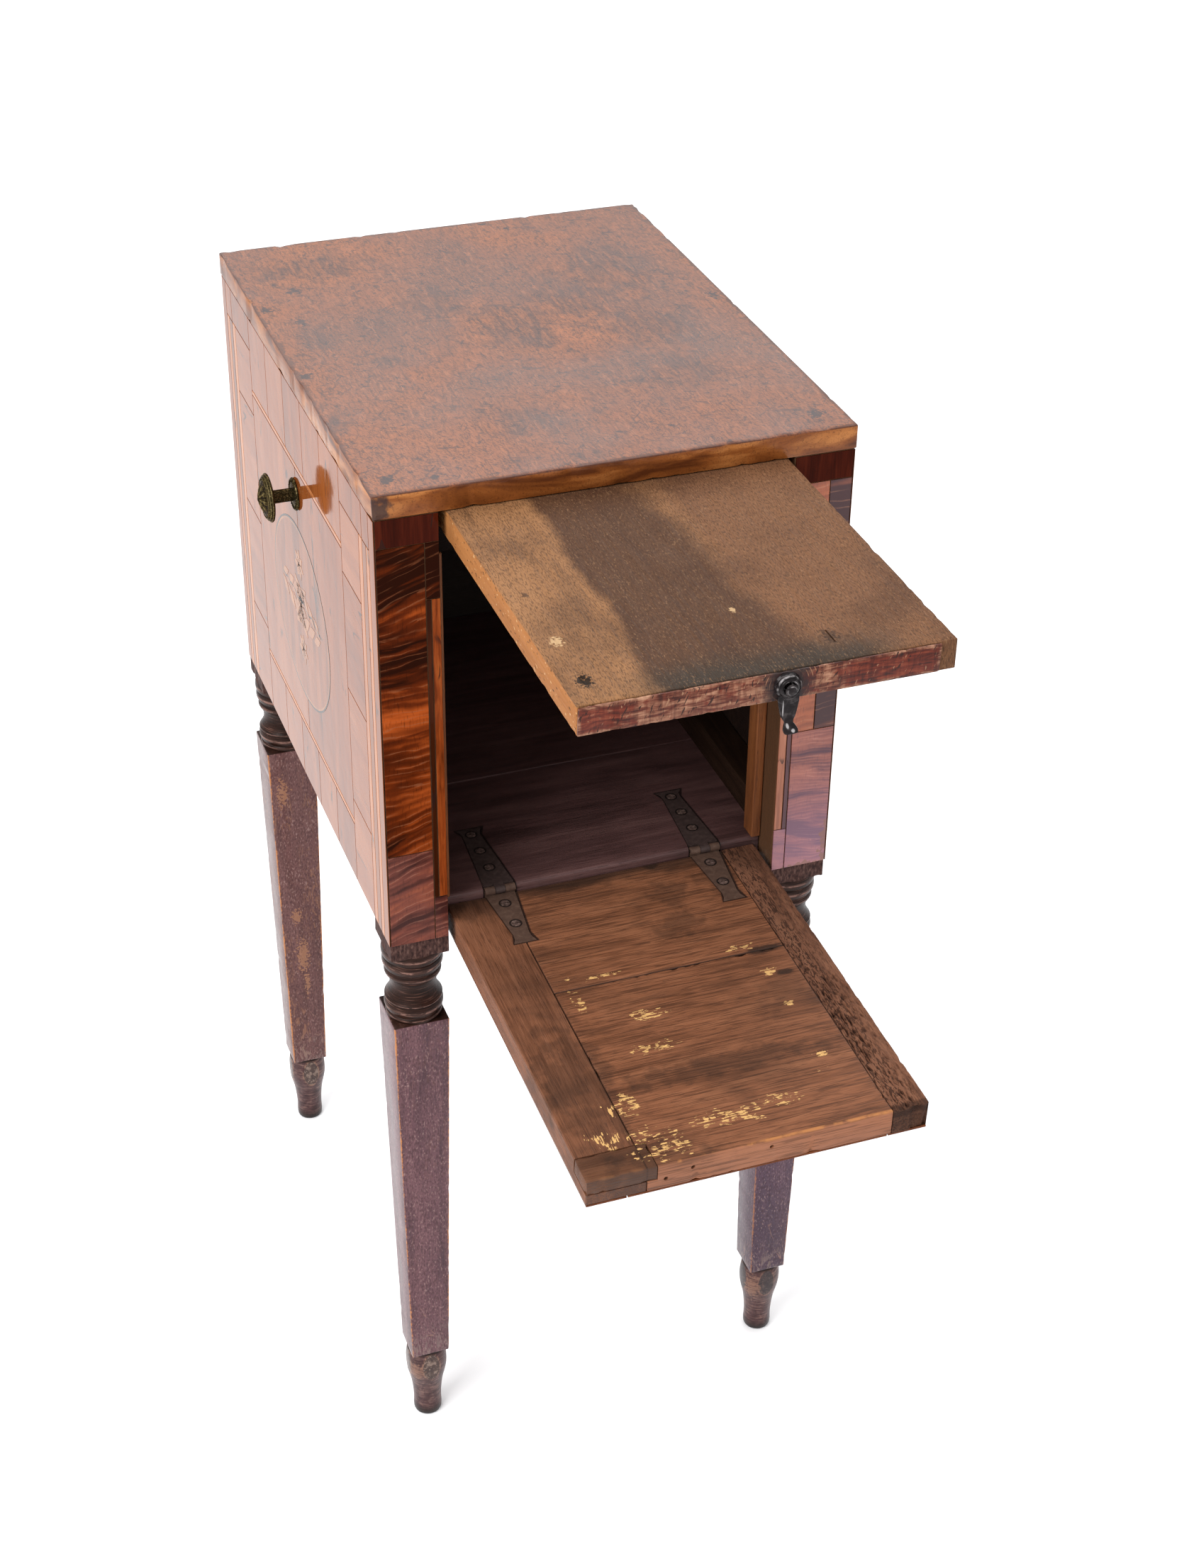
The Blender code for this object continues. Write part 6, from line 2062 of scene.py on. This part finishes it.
@dataclass
class FallDoor:
    """The fall-front door: boards, battens, a corner block, hinge leaves and the outer veneer."""

    pin: Point = (0.0, -0.1765, 0.4652)
    open: float = 91.8
    side: float = 0.1098
    foot: float = 0.0016
    top: float = 0.2780
    inner: float = -0.0030
    core: float = -0.0209
    outer: float = -0.0225
    left_seam: float = -0.0717
    right_seam: float = 0.0863
    seam: float = 0.1103
    block: tuple[float, float, float] = (-0.0655, 0.2565, -0.0130)
    nails: tuple[tuple[float, float], ...] = ((-0.043, -0.0100), (0.007, -0.0085), (-0.060, -0.0140))

    @property
    def laid(self) -> Matrix:
        """The door's place when it is let down."""
        return Matrix.Translation(self.pin) @ Matrix.Rotation(math.radians(self.open), 4, "X")

    def wood(self, name: str, grain: Grain, **changes: Any) -> DoorWood:
        """Give the inner boards' wood with this grain and these changes."""
        angles = (math.radians(self.open), 0.0, 0.0)
        tones = {"dark": (0.065, 0.024, 0.011), "mid": (0.208, 0.078, 0.036),
                 "light": (0.285, 0.116, 0.056), "leaf": (0.055, 0.0110, 0.0155, 0.009)}
        tones.update(changes)
        return DoorWood(name, grain=grain, at=self.pin, angles=angles, figure=0.018, rough=0.6, shine=0.22,
                        **tones)

    def build(self, shop: Dresser) -> None:
        """Model the visible boards and the veneer, and dress the rest."""
        boards = self.wood("door wood", Grain.ALONG_X)
        shop.node(boards, "door_lower_board")
        batten = self.wood("batten wood", Grain.ALONG_Z, mid=(0.180, 0.070, 0.034),
                           light=(0.23, 0.094, 0.048), ridge=0.25, end=(0.050, 0.027, 0.021))
        shop.node(batten, "door_left_batten")
        self.build_upper(shop, boards)
        self.build_block(shop)
        self.build_right(shop)
        self.build_outside(shop)
        rust = OldMetal("rusty iron", dark=(0.062, 0.034, 0.024), mid=(0.080, 0.045, 0.032),
                        rubbed=(0.105, 0.063, 0.046), rough=0.6, grit=260.0, shine=0.2,
                        screws=self.screws(shop, "door"))
        dark = OldMetal("sooty iron", dark=(0.034, 0.021, 0.019), mid=(0.046, 0.029, 0.026),
                        rubbed=(0.064, 0.042, 0.037), rough=0.55, grit=260.0, shine=0.2,
                        screws=self.screws(shop, "floor"))
        screw = OldMetal("screw iron", dark=(0.050, 0.031, 0.026), mid=(0.120, 0.076, 0.064),
                         rubbed=(0.25, 0.175, 0.150), metal=0.3, rough=0.45, grit=500.0)
        for name in shop.frame["nodes"]:
            if "hinge" in name:
                shop.node(screw if "screw" in name else rust if "door" in name else dark, name)

    @staticmethod
    def screws(shop: Dresser, leaf: str) -> tuple[tuple[float, float], ...]:
        """Give the places on plan of the screws in the leaves of this kind."""
        boxes = [shop.box(name) for name in shop.frame["nodes"] if leaf + "_screw" in name]
        return tuple(((low.x + high.x) / 2, (low.y + high.y) / 2) for low, high in boxes)

    def build_upper(self, shop: Dresser, wood: DoorWood) -> None:
        """Model the upper board with its corner recess and nail holes."""
        board = Bench.block("door_worn_upper_board", (self.left_seam, self.core, self.seam),
                            (self.right_seam - 0.0003, self.inner, self.top))
        Bench.worn(board, 70, 0.0008, 0.0016, 21.0, (0, 2))
        gap = 0.0003
        Bench.carve(board,
                    Bench.block("recess", (self.left_seam - 0.01, self.block[2] - gap, self.block[1] - gap),
                                (self.block[0] + gap, 0.0, self.top + 0.01)))
        for x, y in self.nails:
            bpy.ops.object.select_all(action="DESELECT")
            bpy.ops.mesh.primitive_cone_add(vertices=14, radius1=0.0005, radius2=0.0016, depth=0.008,
                                            location=(x, y, self.top - 0.003))
            Bench.carve(board, bpy.context.object)
        Bench.smooth(board)
        Bench.place(board, self.laid)
        shop.piece(board, Body.DOOR, "pine", [wood], ["door_upper_board"])

    def build_block(self, shop: Dresser) -> None:
        """Model the small block let in at the corner."""
        block = Bench.block("door_worn_corner_block", (-self.side, self.block[2], self.block[1]),
                            (self.block[0], self.inner, self.top))
        Bench.worn(block, 16, 0.0007, 0.0012, 31.0, (0, 2))
        Bench.place(block, self.laid)
        wood = self.wood("block wood", Grain.ALONG_X, mid=(0.120, 0.048, 0.023),
                         light=(0.165, 0.068, 0.033), end=(0.055, 0.030, 0.022), ridge=0.3, rub=0.15)
        shop.piece(block, Body.DOOR, "pine", [wood], ["door_corner_block"])

    def build_right(self, shop: Dresser) -> None:
        """Model the right batten, eaten into long pits and with a broken end."""
        batten = Bench.block("door_eaten_batten", (self.right_seam, self.core, self.foot),
                             (self.side, self.inner, self.top))
        Bench.take(batten)
        bpy.ops.object.mode_set(mode="EDIT")
        shape = bmesh.from_edit_mesh(batten.data)
        for axis, cuts in ((2, 100), (2, 2), (0, 30)):
            for line in shape.edges:
                way = line.verts[1].co - line.verts[0].co
                line.select_set(abs(way.normalized()[axis]) > 0.9)
            bmesh.update_edit_mesh(batten.data)
            bpy.ops.mesh.subdivide(number_cuts=cuts)
            shape = bmesh.from_edit_mesh(batten.data)
        bpy.ops.object.mode_set(mode="OBJECT")
        for vertex in batten.data.vertices:
            spot = vertex.co.copy()
            worn = min(1.0, 0.35 + 0.8 * spot.z / self.top)
            edge = (self.side - spot.x) / (self.side - self.right_seam)
            if spot.y > self.inner - 0.0001:
                ridge = noise.noise(Vector((spot.x * 620.0, 3.1, spot.z * 150.0)))
                ridge += 0.6 * noise.noise(Vector((spot.x * 1100.0, 7.7, spot.z * 260.0)))
                broad = noise.noise(Vector((spot.x * 60.0, 1.3, spot.z * 24.0))) + 0.35
                depth = max(0.0, ridge + 0.10) * max(0.0, broad + 0.5 * edge)
                vertex.co.y -= 0.0028 * worn * depth
            if spot.x > self.side - 0.0001:
                vertex.co.x -= 0.0016 * worn * max(0.0,
                                                   noise.noise(Vector((0.4, spot.y * 90, spot.z * 60.0))))
            if spot.z > self.top - 0.0001 and edge < 0.5:
                bite = noise.noise(Vector((spot.x * 260.0, spot.y * 160.0, 2.2))) + 0.45
                vertex.co.z -= 0.0042 * max(0.0, bite) * (1.0 - edge)
        Bench.smooth(batten, 60.0)
        Bench.place(batten, self.laid)
        angles = (math.radians(self.open), 0.0, 0.0)
        wood = Eaten("eaten wood", grain=Grain.ALONG_Z, at=self.pin, angles=angles,
                     dark=(0.030, 0.012, 0.007), mid=(0.160, 0.067, 0.037), light=(0.23, 0.105, 0.060),
                     rough=0.75, shine=0.15)
        shop.piece(batten, Body.DOOR, "pine", [wood], ["door_right_batten"])

    def build_outside(self, shop: Dresser) -> None:
        """Lay the outer veneer: flamed halves, a string frame and a crossbanded border."""
        border, string = 0.026, 0.0040
        side, low, high = self.side, self.foot, self.top
        inner = (-side + border, low + border, side - border, high - border)
        core = [(inner[0] + string, inner[1] + string, 0.0, inner[3] - string),
                (0.0, inner[1] + string, inner[2] - string, inner[3] - string)]
        frame = [(inner[0], inner[1], inner[0] + string, inner[3]),
                 (inner[2] - string, inner[1], inner[2], inner[3]),
                 (inner[0] + string, inner[1], inner[2] - string, inner[1] + string),
                 (inner[0] + string, inner[3] - string, inner[2] - string, inner[3])]
        edges = [(-side, low, inner[0], high), (inner[2], low, side, high),
                 (inner[0], low, inner[2], inner[1]), (inner[0], inner[3], inner[2], high)]
        angles = (math.radians(self.open), 0.0, 0.0)
        flame = Flame("door flame", at=self.pin, angles=angles, slope=0.05, dark=(0.034, 0.0080, 0.0026),
                      mid=(0.105, 0.0250, 0.0062), light=(0.215, 0.0570, 0.0140), curl=(0.24, 0.085, 0.030),
                      shine=0.05)
        border_wood = Polished("door border", shine=0.1, dark=(0.045, 0.010, 0.004),
                               mid=(0.10, 0.027, 0.008), light=(0.16, 0.048, 0.015))
        for name, rects, finish, stands_for in (("door_flame_veneer", core, flame, ["door_veneer"]),
                                                ("door_string_frame", frame, LIGHT_STRING, []),
                                                ("door_border_veneer", edges, border_wood, [])):
            slabs = Bench.slabs(name, self.core - 0.0001, self.outer, rects, (0, 2, 1), [0.60, 0.68] * 2)
            Bench.place(slabs, self.laid)
            shop.piece(slabs, Body.DOOR, "walnut", [finish], stands_for)


def main() -> None:
    """Build the studio and every sub-assembly."""
    logging.basicConfig(level=logging.INFO, format="%(message)s")
    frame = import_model()
    low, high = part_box("top_board")
    centre = (low + high) / 2
    centre.z = 0.0
    Sheet.origin = tuple(centre)
    shop = Dresser(frame, centre)
    Studio().build(centre)
    pieces = [TopBoard(), Legs(), SideInlay(Side.LEFT), SideInlay(Side.RIGHT), FrontStile(Side.LEFT),
              FrontStile(Side.RIGHT), Inside(), Knob(), Slide(), TurnButton(), FallDoor()]
    for piece in pieces:
        piece.build(shop)
        LOG.info("built %s", type(piece).__name__)


if __name__ == "__main__":
    main()
